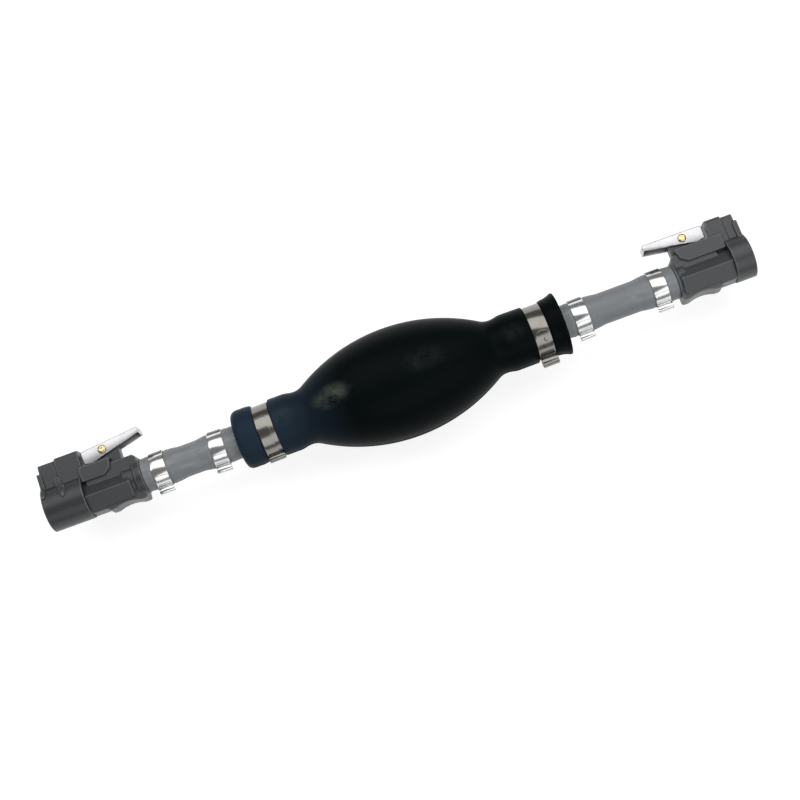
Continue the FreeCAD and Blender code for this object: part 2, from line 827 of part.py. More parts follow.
def pivot_post(pivot_x, pivot_y, foot):
    """The post between the lever's sides (x, y): round over the rivet, sloped for the lever's press."""
    boss = dim("rivet_radius") + BOSS_WALL
    return [
        (pivot_x - POST_BACK, foot),
        (pivot_x - boss, pivot_y),
        (pivot_x, pivot_y + boss, boss, LEFT),
        (pivot_x + POST_FRONT, pivot_y + 0.3),
        (pivot_x + POST_FRONT, foot),
    ]


def make_connector_body(side):
    """The moulded body: hexagonal grip, deck, pivot post, hose barb, and the port valve's chamber."""
    collar_end, box_end = dim(f"{side}_collar_length"), dim(f"{side}_box_end")
    grip_end, length = dim(f"{side}_grip_end"), dim(f"{side}_length")
    pivot_x, pivot_y = dim(f"{side}_pivot_x"), dim(f"{side}_pivot_y")
    cheek_end = dim(f"{side}_cheek_end")
    front = box_end + dim("touch_gap")
    deck = dim("deck_height")
    piece = Piece(f"{side}_connector_body")
    piece.along(collar_end, grip_end, [hexagon(-dim("grip_drop"), dim("grip_radius"))])
    piece.dress("Chamfer", HEX_CHAMFER, lambda edge: all(
        abs(corner.X - grip_end.value) < 1e-6 for corner in edge.Vertexes))
    flange_x = length - dim(f"{side}_flange")
    piece.turn([
        (grip_end - 4, 0),
        (grip_end - 4, 8),
        (flange_x, 8),
        (flange_x, dim("flange_radius")),
        (length, dim("flange_radius")),
    ] + barb_path(length))
    piece.across(dim("deck_half_width") * 2, [[
        (front, 4), (length - 0.6, 4), (length - 0.6, deck - 1.4), (length - 2, deck), (front, deck),
    ]])
    cheek_top = dim("pin_height") + CHEEK_RISE
    cheek_start = collar_end + dim("cheek_gap")
    cheek = [(cheek_start, 6), (cheek_end - 4.5, 6), (cheek_end - 1, 8.4), (cheek_end, cheek_top),
             (cheek_start, cheek_top)]
    piece.across(dim("cheek_half_width") * 2, [cheek])
    fork = [(collar_end - 1, dim("fork_floor")), (front, dim("fork_floor")), (front, 20), (collar_end - 1, 20)]
    piece.across((dim("box_half_width") + 0.4 + dim("touch_gap")) * 2, [fork], cut=True)
    piece.across(dim("post_half_width") * 2, [pivot_post(pivot_x, pivot_y, deck - 1)])
    piece.across(GRIP_WIDTH, [finger_grip(dim(f"{side}_scallop"))])
    piece.along(box_end - 1, pivot_x - 4, circles=[(dim("pin_height"), 0, dim("pin_bore") + 0.3)], cut=True)
    piece.across(THROUGH, circles=[(pivot_x, pivot_y, dim("rivet_radius") + PRESS_FIT)], cut=True)
    well = dim("latch_spring_radius") + 0.6
    spring_x = pivot_x + dim("latch_spring_x")
    piece.across(well * 2, [box(spring_x - well, dim("pin_height"), spring_x + well, pivot_y + 3)], cut=True)
    seal_room = dim("seal_radius") + dim("seal_wire") + dim("touch_gap")
    seal_end = collar_end + dim("seal_wire") * 2 + dim("touch_gap") * 2
    step = collar_end + dim("valve_depth")
    piece.turn([
        (collar_end - 1, 0),
        (collar_end - 1, seal_room),
        (seal_end, seal_room),
        (seal_end, dim("valve_chamber")),
        (step, dim("valve_chamber")),
        (step, dim("flow_bore")),
        (length + dim("barb_length") + 1, dim("flow_bore")),
        (length + dim("barb_length") + 1, 0),
    ], cut=True)
    at_connector(piece, side)


def make_port_valve(side):
    """What closes a connector's fuel port: seal ring, sprung plunger and the guide behind it."""
    collar_end = dim(f"{side}_collar_length")
    inward = ALONG_X if side == "inlet" else Rotation(Vector(0, 1, 0), -90)
    seal_end = collar_end + dim("seal_wire") * 2 + dim("touch_gap") * 2
    guide_front = collar_end + dim("valve_depth") - GUIDE_THICKNESS
    head_end = seal_end + PLUNGER_HEAD
    seal = DOC.addObject("Part::Torus", f"{side}_port_seal")
    bind(seal, "Radius1", dim("seal_radius"))
    bind(seal, "Radius2", dim("seal_wire"))
    place(seal, connector_x(side, collar_end + dim("seal_wire") + dim("touch_gap")), 0, inward)
    PARTS.append(seal)
    nose = dim("seal_radius") - dim("seal_wire") - 0.8
    plunger = Piece(f"{side}_port_plunger").turn([
        (collar_end + 0.4, 0),
        (collar_end + 0.4, nose - 0.6),
        (collar_end + 1, nose),
        (seal_end, nose),
        (seal_end, dim("valve_chamber") - 0.8),
        (head_end, dim("valve_chamber") - 0.8),
        (head_end, dim("stem_radius")),
        (guide_front + GUIDE_THICKNESS + 1, dim("stem_radius")),
        (guide_front + GUIDE_THICKNESS + 1, 0),
    ])
    at_connector(plunger, side)
    guide = disc_with_ports(Piece(f"{side}_port_guide"), dim("valve_chamber") - dim("touch_gap"),
                            size(GUIDE_THICKNESS), 3.3, 0.95, dim("stem_radius") + dim("run_gap"))
    guide.place(connector_x(side, guide_front), 0, Rotation() if side == "inlet" else AGAINST_X)
    wire = size(PORT_WIRE)
    start = head_end + dim("touch_gap") + wire / 2
    room = guide_front - head_end - dim("touch_gap") * 2
    spring(f"{side}_port_spring", size(PORT_SPRING_RADIUS), wire, room, PORT_COILS,
           connector_x(side, start), 0, inward)


def make_latch(side):
    """The sprung lever that hooks the guide pin, its rivet, and the spring under its outer end."""
    pivot_x, pivot_y = dim(f"{side}_pivot_x"), dim(f"{side}_pivot_y")
    inner, outer, top = dim("lever_inner"), dim("lever_outer"), dim("lever_top")
    half, steel = dim("lever_half_width"), dim("lever_steel")
    corner = LEVER_ROUND
    facing = Rotation() if side == "inlet" else AGAINST_X
    tilt = Rotation(Vector(0, 0, 1), DIMENSIONS[f"{side}_latch_tilt"])
    lever = Piece(f"{side}_latch_lever")
    lever.across(half * 2, [[
        (-inner, -INNER_DEPTH),
        (-inner, top - corner),
        (corner - inner, top, corner, LEFT),
        (outer - corner, top),
        (outer, top - corner, corner, LEFT),
        (outer, -TIP_DEPTH),
        (-HEEL_X, -HEEL_DEPTH),
    ]])
    lever.across((half - steel) * 2, [box(steel - inner, -6, outer - steel, top - steel)], cut=True)
    lever.across(THROUGH, circles=[(0, 0, dim("rivet_radius") + dim("run_gap"))], cut=True)
    lever.place(connector_x(side, pivot_x), pivot_y, facing * tilt)
    end, head = half + 0.9, dim("rivet_head")
    rivet = Piece(f"{side}_latch_rivet").turn([
        (-end, 0), (-end, head - HEAD_CHAMFER), (HEAD_CHAMFER - end, head), (HEAD_HEIGHT - end, head),
        (HEAD_HEIGHT - end, dim("rivet_radius")), (end - HEAD_HEIGHT, dim("rivet_radius")),
        (end - HEAD_HEIGHT, head), (end - HEAD_CHAMFER, head), (end, head - HEAD_CHAMFER), (end, 0),
    ])
    rivet.place(connector_x(side, pivot_x), pivot_y, ALONG_X)
    wire = dim("latch_wire")
    foot = dim("pin_height") + dim("touch_gap") + wire / 2
    spring(f"{side}_latch_spring", dim("latch_spring_radius"), wire, pivot_y + top - steel - foot - 0.2,
           LATCH_COILS,
           connector_x(side, pivot_x + dim("latch_spring_x")), foot, ALONG_Y)


# ---------------------------------------------------------------- the whole pump

def check_and_export():
    """Stops if any object failed; otherwise writes one STEP file for each sub-part."""
    DOC.recompute()
    failed = [item.Name for item in DOC.Objects if {"Invalid", "Error"} & set(item.State)]
    failed += [part.Label for part in PARTS if part.Shape.isNull() or not part.Shape.isValid()]
    if failed:
        raise RuntimeError(f"failed: {failed}")
    os.makedirs(FOLDER, exist_ok=True)
    for part in PARTS:
        part.Shape.exportStep(os.path.join(FOLDER, f"{part.Label}.step"))
        print(f"{part.Label}: {part.Shape.Volume:.1f} mm3, {len(part.Shape.Solids)} solid(s)")


make_bulb()
make_check_valves()
make_clamps()
for end_name in ("inlet", "outlet"):
    make_hose(end_name)
    make_hood(end_name)
    make_connector_body(end_name)
    make_port_valve(end_name)
    make_latch(end_name)
check_and_export()
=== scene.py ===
"""Looks of a priming bulb pump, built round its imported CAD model.

Metres.  +X is the way the fuel flows, +Y the side of the latch levers, +Z up, and the origin is at
the middle of the bulb.
"""

import json
import math

import bmesh
import bpy
from bpy.props import FloatProperty, FloatVectorProperty, PointerProperty
from mathutils import Matrix, Vector


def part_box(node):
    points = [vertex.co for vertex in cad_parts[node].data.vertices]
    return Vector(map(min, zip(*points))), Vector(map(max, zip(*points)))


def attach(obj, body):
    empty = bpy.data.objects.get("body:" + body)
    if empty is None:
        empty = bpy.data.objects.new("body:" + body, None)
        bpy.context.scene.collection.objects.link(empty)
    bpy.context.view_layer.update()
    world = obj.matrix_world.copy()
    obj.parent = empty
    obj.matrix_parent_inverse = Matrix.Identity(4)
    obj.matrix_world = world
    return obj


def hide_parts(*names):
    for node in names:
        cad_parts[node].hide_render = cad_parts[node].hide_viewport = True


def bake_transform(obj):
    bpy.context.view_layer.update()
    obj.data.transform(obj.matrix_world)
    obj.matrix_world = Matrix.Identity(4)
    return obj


bl_info = {
    "name": "Priming bulb pump",
    "version": (1, 0, 0),
    "blender": (4, 5, 0),
    "location": "View3D > Sidebar > Pump",
    "description": "Models and finishes a hand priming bulb between two latching fuel connectors",
    "category": "Object",
}

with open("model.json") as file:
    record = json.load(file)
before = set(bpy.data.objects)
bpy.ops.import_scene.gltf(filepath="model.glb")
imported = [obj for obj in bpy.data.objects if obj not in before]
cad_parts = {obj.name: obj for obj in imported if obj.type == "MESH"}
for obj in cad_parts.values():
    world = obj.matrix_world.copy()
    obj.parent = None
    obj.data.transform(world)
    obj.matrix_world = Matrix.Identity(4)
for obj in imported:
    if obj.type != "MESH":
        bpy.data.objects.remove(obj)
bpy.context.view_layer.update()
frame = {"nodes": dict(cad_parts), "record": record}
SIDES = ("inlet", "outlet")
MM = 0.001


# ---------------------------------------------------------------- settings

def length(name, text, default):
    return FloatProperty(name=name, description=text, default=default, unit="LENGTH", precision=5)


def amount(name, text, default):
    return FloatProperty(name=name, description=text, default=default)


def power(name, text, default):
    return FloatProperty(name=name, description=text, default=default, unit="POWER")


def colour(name, text, default):
    return FloatVectorProperty(name=name, description=text, default=default, subtype="COLOR", size=3)


class BulbSettings(bpy.types.PropertyGroup):
    """Sizes and colour of the rubber bulb."""

    rubber: colour("Rubber", "Colour of the bulb's rubber", (0.0026, 0.0046, 0.0052))
    cuff: colour("Inlet cuff", "Colour towards the inlet's cuff", (0.0175, 0.0310, 0.0480))
    # Painted highlight: a pale colour painted on the rubber in patches along the top of the belly.
    painted_highlight: colour("Painted highlight", "Colour of the painted highlight on the rubber", (0.086, 0.101, 0.082))
    parting: length("Parting line", "Height of the mould's parting line", 0.00022)
    mark: length("Flow mark", "Height of the raised flow arrow", 0.00055)


class HoseSettings(bpy.types.PropertyGroup):
    """Sizes and colour of the hose stubs."""

    rubber: colour("Rubber", "Colour of the hose's rubber", (0.205, 0.221, 0.231))
    # Colour of the painted highlight streaks along the hose.
    streak: colour("Highlight streak", "Colour of the paler streaks along the hose", (0.30, 0.315, 0.32))
    pinch: length("Pinch", "How far a clip presses into the hose", 0.00028)


class MetalSettings(bpy.types.PropertyGroup):
    """Colours of the clamps, levers and rivets."""

    band: colour("Band steel", "Stainless strip round the bulb's cuffs", (0.24, 0.233, 0.213))
    clip: colour("Clip zinc", "Bright plate of the hose clips", (0.72, 0.725, 0.73))
    lever: colour("Lever plate", "Bright plate of the latch levers", (0.65, 0.65, 0.66))
    brass: colour("Brass", "Turned brass of the rivets", (0.76, 0.63, 0.33))
    strip_round: length("Strip edge", "Rounding of the strips' edges", 0.00012)


class ConnectorSettings(bpy.types.PropertyGroup):
    """Colours of the connectors and of the valve parts inside."""

    plastic: colour("Plastic", "Glass-filled nylon of the connectors", (0.045, 0.050, 0.054))
    acetal: colour("Acetal", "Natural acetal of the valve parts", (0.70, 0.68, 0.60))
    voxel: length("Moulding detail", "Smallest feature kept on the moulded parts", 0.0003)


class StageSettings(bpy.types.PropertyGroup):
    """Camera, lamps and floor."""

    lens: FloatProperty(name="Lens", description="Focal length", default=65.4, unit="CAMERA")
    distance: length("Distance", "From the camera to what it looks at", 0.70)
    elevation: FloatProperty(name="Elevation", description="Height of the camera over the floor's plane",
                             default=math.radians(78), subtype="ANGLE")
    roll: FloatProperty(name="Roll", description="How far the camera is turned clockwise",
                        default=math.radians(20.1), subtype="ANGLE")
    back_box: power("Back softbox", "Power of the wide lamp on the levers' side", 10.2)
    front_box: power("Front softbox", "Power of the wide lamp opposite", 5.4)
    window: power("Window", "Power of the small lamp past the inlet", 1.3)
    world: amount("World", "Strength of the surrounding light", 0.20)


# ---------------------------------------------------------------- shader groups and materials

def new_group(name, inputs, outputs):
    """A shader node group with named sockets; returns the group and its two end nodes."""
    group = bpy.data.node_groups.new(name, "ShaderNodeTree")
    for socket, kind, default in inputs:
        item = group.interface.new_socket(name=socket, in_out="INPUT", socket_type=f"NodeSocket{kind}")
        if default is not None:
            item.default_value = default
    for socket, kind in outputs:
        group.interface.new_socket(name=socket, in_out="OUTPUT", socket_type=f"NodeSocket{kind}")
    return group, group.nodes.new("NodeGroupInput"), group.nodes.new("NodeGroupOutput")


def feed(tree, socket, value):
    """Gives a socket its value, or links it where the value is another node's output."""
    if isinstance(value, bpy.types.NodeSocket):
        tree.links.new(value, socket)
    else:
        socket.default_value = value


def add_node(tree, kind, **values):
    """Adds a node and feeds or sets its inputs and properties by name."""
    node = tree.nodes.new(f"ShaderNode{kind}")
    for name, value in values.items():
        if name in node.inputs:
            feed(tree, node.inputs[name], value)
        else:
            setattr(node, name, value)
    return node


def maths(tree, operation, *terms):
    """A math node over sockets or numbers; returns its output."""
    node = add_node(tree, "Math", operation=operation)
    for socket, term in zip(node.inputs, terms):
        feed(tree, socket, term)
    return node.outputs[0]


def vector_maths(tree, operation, *terms):
    """A vector math node over sockets or triples; returns its outputs."""
    node = add_node(tree, "VectorMath", operation=operation)
    for socket, term in zip(node.inputs, terms):
        feed(tree, socket, term)
    return node.outputs


def remap(tree, value, low, high, to_low, to_high):
    """A value mapped from one range to another, clamped; returns its output."""
    node = add_node(tree, "MapRange", Value=value)
    for name, term in (("From Min", low), ("From Max", high), ("To Min", to_low), ("To Max", to_high)):
        feed(tree, node.inputs[name], term)
    return node.outputs["Result"]


def noise(tree, vector, scale, detail=2.0, roughness=0.5):
    """A noise texture's value between 0 and 1."""
    node = add_node(tree, "TexNoise", Vector=vector, Scale=scale, Detail=detail, Roughness=roughness)
    return node.outputs["Fac"]


def mix_colours(tree, factor, first, second):
    """A colour between two colours or sockets."""
    node = add_node(tree, "Mix", data_type="RGBA")
    feed(tree, node.inputs[0], factor)
    for socket, value in zip((node.inputs[6], node.inputs[7]), (first, second)):
        feed(tree, socket, value if isinstance(value, bpy.types.NodeSocket) else (*value, 1.0))
    return node.outputs[2]


def toned(tree, tone, base):
    """A colour made lighter or darker by a tone near 1."""
    node = add_node(tree, "VectorMath", operation="SCALE", Scale=tone)
    feed(tree, node.inputs[0], base)
    return node.outputs[0]


def make_grain_group():
    """Fine moulded grain with slow cloudiness: a height, a tone and a roughness."""
    group, start, end = new_group("Moulded grain", [
        ("Vector", "Vector", None), ("Grain scale", "Float", 2600.0), ("Cloud scale", "Float", 45.0),
        ("Tone", "Float", 0.12), ("Roughness", "Float", 0.5), ("Spread", "Float", 0.08),
    ], [("Height", "Float"), ("Tone", "Float"), ("Roughness", "Float")])
    vector = start.outputs["Vector"]
    grain = noise(group, vector, start.outputs["Grain scale"], 3.0, 0.6)
    cloud = noise(group, vector, start.outputs["Cloud scale"], 4.0, 0.6)
    centred = maths(group, "SUBTRACT", cloud, 0.5)
    tone = maths(group, "MULTIPLY", centred, start.outputs["Tone"])
    fine = maths(group, "MULTIPLY", maths(group, "SUBTRACT", grain, 0.5), start.outputs["Tone"])
    group.links.new(grain, end.inputs["Height"])
    group.links.new(maths(group, "ADD", maths(group, "ADD", tone, 1.0), fine), end.inputs["Tone"])
    spread = maths(group, "MULTIPLY", centred, start.outputs["Spread"])
    group.links.new(maths(group, "ADD", spread, start.outputs["Roughness"]), end.inputs["Roughness"])
    return group


SCRATCHES = ((0.5, 14.0), (-0.9, 9.0), (1.4, 17.0))  # turn round Z and stretch of each set


def make_scuff_group():
    """Hair scratches and rubbed patches: a mask between 0 and 1."""
    group, start, end = new_group("Scuffs", [
        ("Vector", "Vector", None), ("Scale", "Float", 260.0), ("Amount", "Float", 0.5),
    ], [("Mask", "Float")])
    vector = start.outputs["Vector"]
    lines = []
    for turn, stretch in SCRATCHES:
        mapping = add_node(group, "Mapping", Vector=vector, Rotation=(0.2, 0.3, turn),
                           Scale=(1.0, stretch, stretch))
        streak = noise(group, mapping.outputs[0], start.outputs["Scale"], 1.0, 0.4)
        lines.append(remap(group, streak, 0.70, 0.76, 0.0, 1.0))
    patch = remap(group, noise(group, vector, 70.0, 2.0), 0.5, 0.65, 0.0, 1.0)
    strongest = maths(group, "MAXIMUM", maths(group, "MAXIMUM", lines[0], lines[1]), lines[2])
    masked = maths(group, "MULTIPLY", strongest, patch)
    group.links.new(maths(group, "MULTIPLY", masked, start.outputs["Amount"]), end.inputs["Mask"])
    return group


def make_strip_group():
    """Rolling marks that run round the X axis: a height, a cloudy tone and a roughness."""
    group, start, end = new_group("Rolled strip", [
        ("Vector", "Vector", None), ("Scale", "Float", 9000.0), ("Roughness", "Float", 0.25),
        ("Spread", "Float", 0.15),
    ], [("Height", "Float"), ("Tone", "Float"), ("Roughness", "Float")])
    vector = start.outputs["Vector"]
    mapping = add_node(group, "Mapping", Vector=vector, Scale=(1.0, 0.03, 0.03))
    lines = noise(group, mapping.outputs[0], start.outputs["Scale"], 3.0, 0.7)
    blotch = noise(group, vector, 160.0, 3.0)
    group.links.new(lines, end.inputs["Height"])
    tone = remap(group, noise(group, vector, 220.0, 3.0), 0.3, 0.7, 0.93, 1.05)
    group.links.new(tone, end.inputs["Tone"])
    both = maths(group, "ADD", maths(group, "SUBTRACT", lines, 0.5), maths(group, "SUBTRACT", blotch, 0.5))
    spread = maths(group, "MULTIPLY", both, start.outputs["Spread"])
    group.links.new(maths(group, "ADD", spread, start.outputs["Roughness"]), end.inputs["Roughness"])
    return group


def make_painted_shade_group(name="Crevice dirt", alone=False):
    """A colour that falls to Darkest of itself where surfaces, or only its own, meet within Depth: painted
    shade from an ambient occlusion node.
    """
    group, start, end = new_group(name, [
        ("Color", "Color", None), ("Depth", "Float", 0.0017), ("Darkest", "Float", 0.18),
    ], [("Color", "Color")])
    near = add_node(group, "AmbientOcclusion", samples=8, only_local=alone, Distance=start.outputs["Depth"])
    shade = remap(group, near.outputs["AO"], 0.35, 0.95, start.outputs["Darkest"], 1.0)
    group.links.new(toned(group, shade, start.outputs["Color"]), end.inputs["Color"])
    return group


def make_wear_and_highlight_group():
    """A colour that turns to a paler edge colour, by Amount at most, along sharp outward edges: wear together
    with a painted highlight.
    """
    group, start, end = new_group("Edge wear", [
        ("Color", "Color", None), ("Worn", "Color", None), ("Amount", "Float", 0.65),
    ], [("Color", "Color")])
    pointed = add_node(group, "NewGeometry").outputs["Pointiness"]
    share = remap(group, pointed, 0.506, 0.535, 0.0, start.outputs["Amount"])
    final = mix_colours(group, share, start.outputs["Color"], start.outputs["Worn"])
    group.links.new(final, end.inputs["Color"])
    return group


GROUP_MAKERS = {
    "grain": make_grain_group, "scuff": make_scuff_group, "strip": make_strip_group,
    "crevice": make_painted_shade_group, "wear": make_wear_and_highlight_group,
    "own_crevice": lambda: make_painted_shade_group("Own crevice dirt", True),
}
GROUPS = {}


def group_node(tree, name, **values):
    """Places a shader group, made once, with its own values; returns its outputs."""
    if name not in GROUPS:
        GROUPS[name] = GROUP_MAKERS[name]()
    node = tree.nodes.new("ShaderNodeGroup")
    node.node_tree = GROUPS[name]
    for key, value in values.items():
        feed(tree, node.inputs[key.replace("_", " ")], value)
    return node.outputs


def start_material(name):
    """A new node material: its tree, its Principled shader and its Object coordinates."""
    made = bpy.data.materials.new(name)
    made.use_nodes = True
    tree = made.node_tree
    return made, tree, tree.nodes["Principled BSDF"], add_node(tree, "TexCoord").outputs["Object"]


def bump(tree, shader, height, strength, distance):
    """Raises a shader's surface by a height, distance being its full depth."""
    node = add_node(tree, "Bump", Height=height, Strength=strength, Distance=distance)
    tree.links.new(node.outputs["Normal"], shader.inputs["Normal"])


def base_colour(shader):
    """What feeds a shader's base colour so far."""
    return shader.inputs["Base Color"].links[0].from_socket


def moulded(name, base, grain, cloud, tone, roughness, spread=0.05, strength=0.1, distance=0.03, scuffs=None,
            gloss=0.35):
    """A moulded rubber or plastic: fine grain distance mm deep, cloudy tone, and paler scuffs if any."""
    made, tree, shader, vector = start_material(name)
    shader.inputs["Specular IOR Level"].default_value = gloss
    outputs = group_node(tree, "grain", Vector=vector, Grain_scale=grain, Cloud_scale=cloud, Tone=tone,
                         Roughness=roughness, Spread=spread)
    final = toned(tree, outputs["Tone"], base)
    if scuffs:
        pale, scale, share = scuffs
        mask = group_node(tree, "scuff", Vector=vector, Scale=scale, Amount=share)["Mask"]
        final = mix_colours(tree, mask, final, pale)
    tree.links.new(final, shader.inputs["Base Color"])
    tree.links.new(outputs["Roughness"], shader.inputs["Roughness"])
    bump(tree, shader, outputs["Height"], strength, distance * MM)
    return made, tree, shader, vector


SCUFFED = (0.15, 0.155, 0.16)
# Paler colour for sharp edges: wear together with a painted highlight along them.
EDGE_WEAR_AND_HIGHLIGHT = (0.16, 0.17, 0.18, 1.0)


def make_plastic(name, settings, share):
    """Glass-filled nylon: a fine matt grain with pale scuffs, painted shade in its corners, and paler edges
    from wear together with a painted highlight.
    """
    base = tuple(part * share for part in settings.plastic)
    made, tree, shader, _ = moulded(
        name, base, grain=3200.0, cloud=90.0, tone=0.30, roughness=0.36, spread=0.10, strength=0.40,
        distance=0.06, scuffs=(SCUFFED, 420.0, 0.35), gloss=0.5)
    # Painted shade: the colour darkens where other surfaces come within 1.7 mm.
    with_painted_shade = group_node(tree, "crevice", Color=base_colour(shader), Depth=1.7 * MM, Darkest=0.18)["Color"]
    # Edges turn paler: wear, with a painted highlight along them.
    worn_and_lit = group_node(tree, "wear", Color=with_painted_shade, Worn=EDGE_WEAR_AND_HIGHLIGHT, Amount=0.65)["Color"]
    tree.links.new(worn_and_lit, shader.inputs["Base Color"])
    return made


def rolled_metal(name, base, roughness, spread, scale, strength, painted_shade_depth=0.0):
    """A rolled or plated metal whose marks run round the X axis; painted shade darkens it in corners nearer
    than the given depth in mm.
    """
    made, tree, shader, vector = start_material(name)
    outputs = group_node(tree, "strip", Vector=vector, Scale=scale, Roughness=roughness, Spread=spread)
    final = toned(tree, outputs["Tone"], base)
    if painted_shade_depth:
        final = group_node(tree, "own_crevice", Color=final, Depth=painted_shade_depth * MM, Darkest=0.12)["Color"]
    tree.links.new(final, shader.inputs["Base Color"])
    tree.links.new(outputs["Roughness"], shader.inputs["Roughness"])
    shader.inputs["Metallic"].default_value = 1.0
    bump(tree, shader, outputs["Height"], strength, 0.02 * MM)
    return made


def patch_mask(tree, vector, centre, reach):
    """A mask that is 1 round a point and falls to 0 at reach along each axis, in metres."""
    offset = vector_maths(tree, "SUBTRACT", vector, centre)[0]
    scaled = vector_maths(tree, "DIVIDE", offset, reach)[0]
    return remap(tree, vector_maths(tree, "LENGTH", scaled)["Value"], 0.2, 1.0, 1.0, 0.0)


# Each patch of painted highlight on the top of the belly: x, reach along x in mm, and share.
PAINTED_HIGHLIGHT_PATCHES = ((-33.0, 12.0, 0.8), (-58.0, 7.0, 0.30), (14.0, 12.0, 0.18), (58.0, 7.0, 0.16))
CUFF_FADE = (-64.0, -26.0)


def make_bulb_rubber(settings):
    """Near-black nitrile, bluer towards the inlet, with pale mottled patches of painted highlight along its
    top.
    """
    made, tree, shader, vector = moulded(
        "Bulb rubber", tuple(settings.rubber), grain=1900.0, cloud=60.0, tone=0.25, roughness=0.36,
        spread=0.10, strength=0.25, distance=0.06, gloss=0.025)
    along = add_node(tree, "SeparateXYZ", Vector=vector).outputs["X"]
    cuff = remap(tree, along, *(x * MM for x in CUFF_FADE), 1.0, 0.0)
    final = mix_colours(tree, cuff, base_colour(shader), tuple(settings.cuff))
    # Painted highlight: pale patches, mottled by this cloud, are mixed into the rubber's colour along its
    # top.
    cloud = remap(tree, noise(tree, vector, 130.0, 5.0, 0.66), 0.38, 0.62, 0.0, 1.0)
    for x, reach, share in PAINTED_HIGHLIGHT_PATCHES:
        spot = (x * MM, 1.0 * MM, 24.0 * MM)
        patch = patch_mask(tree, vector, spot, (reach * MM, 6.5 * MM, 30.0 * MM))
        patch = maths(tree, "MULTIPLY", maths(tree, "MULTIPLY", patch, cloud), share)
        final = mix_colours(tree, patch, final, tuple(settings.painted_highlight))
    tree.links.new(final, shader.inputs["Base Color"])
    return made


def make_hose_rubber(settings):
    """Grey rubber with paler streaks along it, painted as highlight streaks."""
    made, tree, shader, vector = moulded(
        "Hose rubber", tuple(settings.rubber), grain=2400.0, cloud=110.0, tone=0.16, roughness=0.45,
        spread=0.10, strength=0.3, distance=0.05, gloss=0.40)
    # Painted highlight: paler streaks stretched along the hose, mixed into its colour.
    mapping = add_node(tree, "Mapping", Vector=vector, Scale=(0.22, 1.0, 1.0))
    streak = remap(tree, noise(tree, mapping.outputs[0], 330.0, 4.0, 0.6), 0.50, 0.66, 0.0, 0.6)
    final = mix_colours(tree, streak, base_colour(shader), tuple(settings.streak))
    tree.links.new(final, shader.inputs["Base Color"])
    return made


SMALL_MOULDINGS = {
    "seal_rubber": ("Seal rubber", (0.012, 0.012, 0.012), 3000.0, 200.0, 0.1, 0.35),
    # Near-black: painted shade standing in for the hollows of the punched slots.
    "band_slot": ("Punched slot", (0.012, 0.011, 0.010), 3000.0, 200.0, 0.1, 0.6),
}  # name, colour, grain, cloud, tone, roughness
METALS = {
    "band_steel": ("Band steel", "band", 0.20, 0.10, 9000.0, 0.25),
    "clip_zinc": ("Clip zinc", "clip", 0.20, 0.06, 7000.0, 0.12),
    # A darker copy of the clip zinc: painted shade for the clips' ends.
    "clip_dull": ("Clip zinc, dulled", (0.14, 0.142, 0.148), 0.34, 0.12, 7000.0, 0.2),
    # The lever plate gets painted shade within 4 mm of its own other surfaces, inside and under its channel.
    "lever_chrome": ("Lever plate", "lever", 0.40, 0.10, 3000.0, 0.10, 4.0),
    "rivet_brass": ("Turned brass", "brass", 0.22, 0.15, 5000.0, 0.2),
    "spring_steel": ("Spring wire", (0.55, 0.55, 0.55), 0.28, 0.1, 4000.0, 0.1),
}  # name, colour or the setting that holds it, roughness, spread, scale, strength, depth of painted shade in corners
# The inlet connector and its pads take a darker copy of the connector plastic: painted shade, as if they lay
# in less light.
INLET_PAINTED_SHADE = 0.69
MATERIALS = {}


def make_material(name):
    """A slot's finish, with its colours from the settings."""
    scene = bpy.context.scene
    if name in METALS:
        title, base, *values = METALS[name]
        base = tuple(getattr(scene.pump_metal, base)) if isinstance(base, str) else base
        return rolled_metal(title, base, *values)
    if name in SMALL_MOULDINGS:
        return moulded(*SMALL_MOULDINGS[name])[0]
    plastic = scene.pump_connector
    return {
        "bulb_rubber": lambda: make_bulb_rubber(scene.pump_bulb),
        "hose_rubber": lambda: make_hose_rubber(scene.pump_hose),
        "connector_plastic": lambda: make_plastic("Connector plastic", plastic, 1.0),
        "inlet_plastic_painted_shade": lambda: make_plastic("Connector plastic, inlet", plastic, INLET_PAINTED_SHADE),
        "valve_plastic": lambda: moulded("Valve acetal", tuple(plastic.acetal), 1500.0, 120.0, 0.05, 0.35)[0],
    }[name]()


def material(name):
    """A finished material, made the first time that it is asked for."""
    if name not in MATERIALS:
        MATERIALS[name] = make_material(name)
    return MATERIALS[name]


# ---------------------------------------------------------------- mesh helpers

TURN = 2 * math.pi
FINISHES = {"band_slot": "band_steel", "clip_dull": "clip_zinc", "inlet_plastic_painted_shade": "connector_plastic"}
ALONG_X = Vector((1, 0, 0))


def finish_piece(mesh, name, slot, body, replaced=(), sharp=38.0):
    """Merges and closes a bmesh, makes it an object with its material, and rides it on a body if given."""
    bmesh.ops.remove_doubles(mesh, verts=mesh.verts, dist=0.002 * MM)
    bmesh.ops.recalc_face_normals(mesh, faces=mesh.faces)
    data = bpy.data.meshes.new(name)
    mesh.to_mesh(data)
    mesh.free()
    data.shade_smooth()
    data.set_sharp_from_angle(angle=math.radians(sharp))
    data.materials.append(material(slot))
    slot = FINISHES.get(slot, slot)
    piece = bpy.data.objects.new(name, data)
    bpy.context.scene.collection.objects.link(piece)
    if body:
        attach(piece, body)
    if replaced:
        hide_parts(*replaced)
    return piece


def polyline(mesh, points, closed=False):
    """Vertices joined by edges; returns both."""
    verts = [mesh.verts.new(point) for point in points]
    edges = [mesh.edges.new(pair) for pair in zip(verts, verts[1:])]
    if closed:
        edges.append(mesh.edges.new((verts[-1], verts[0])))
    return verts, edges


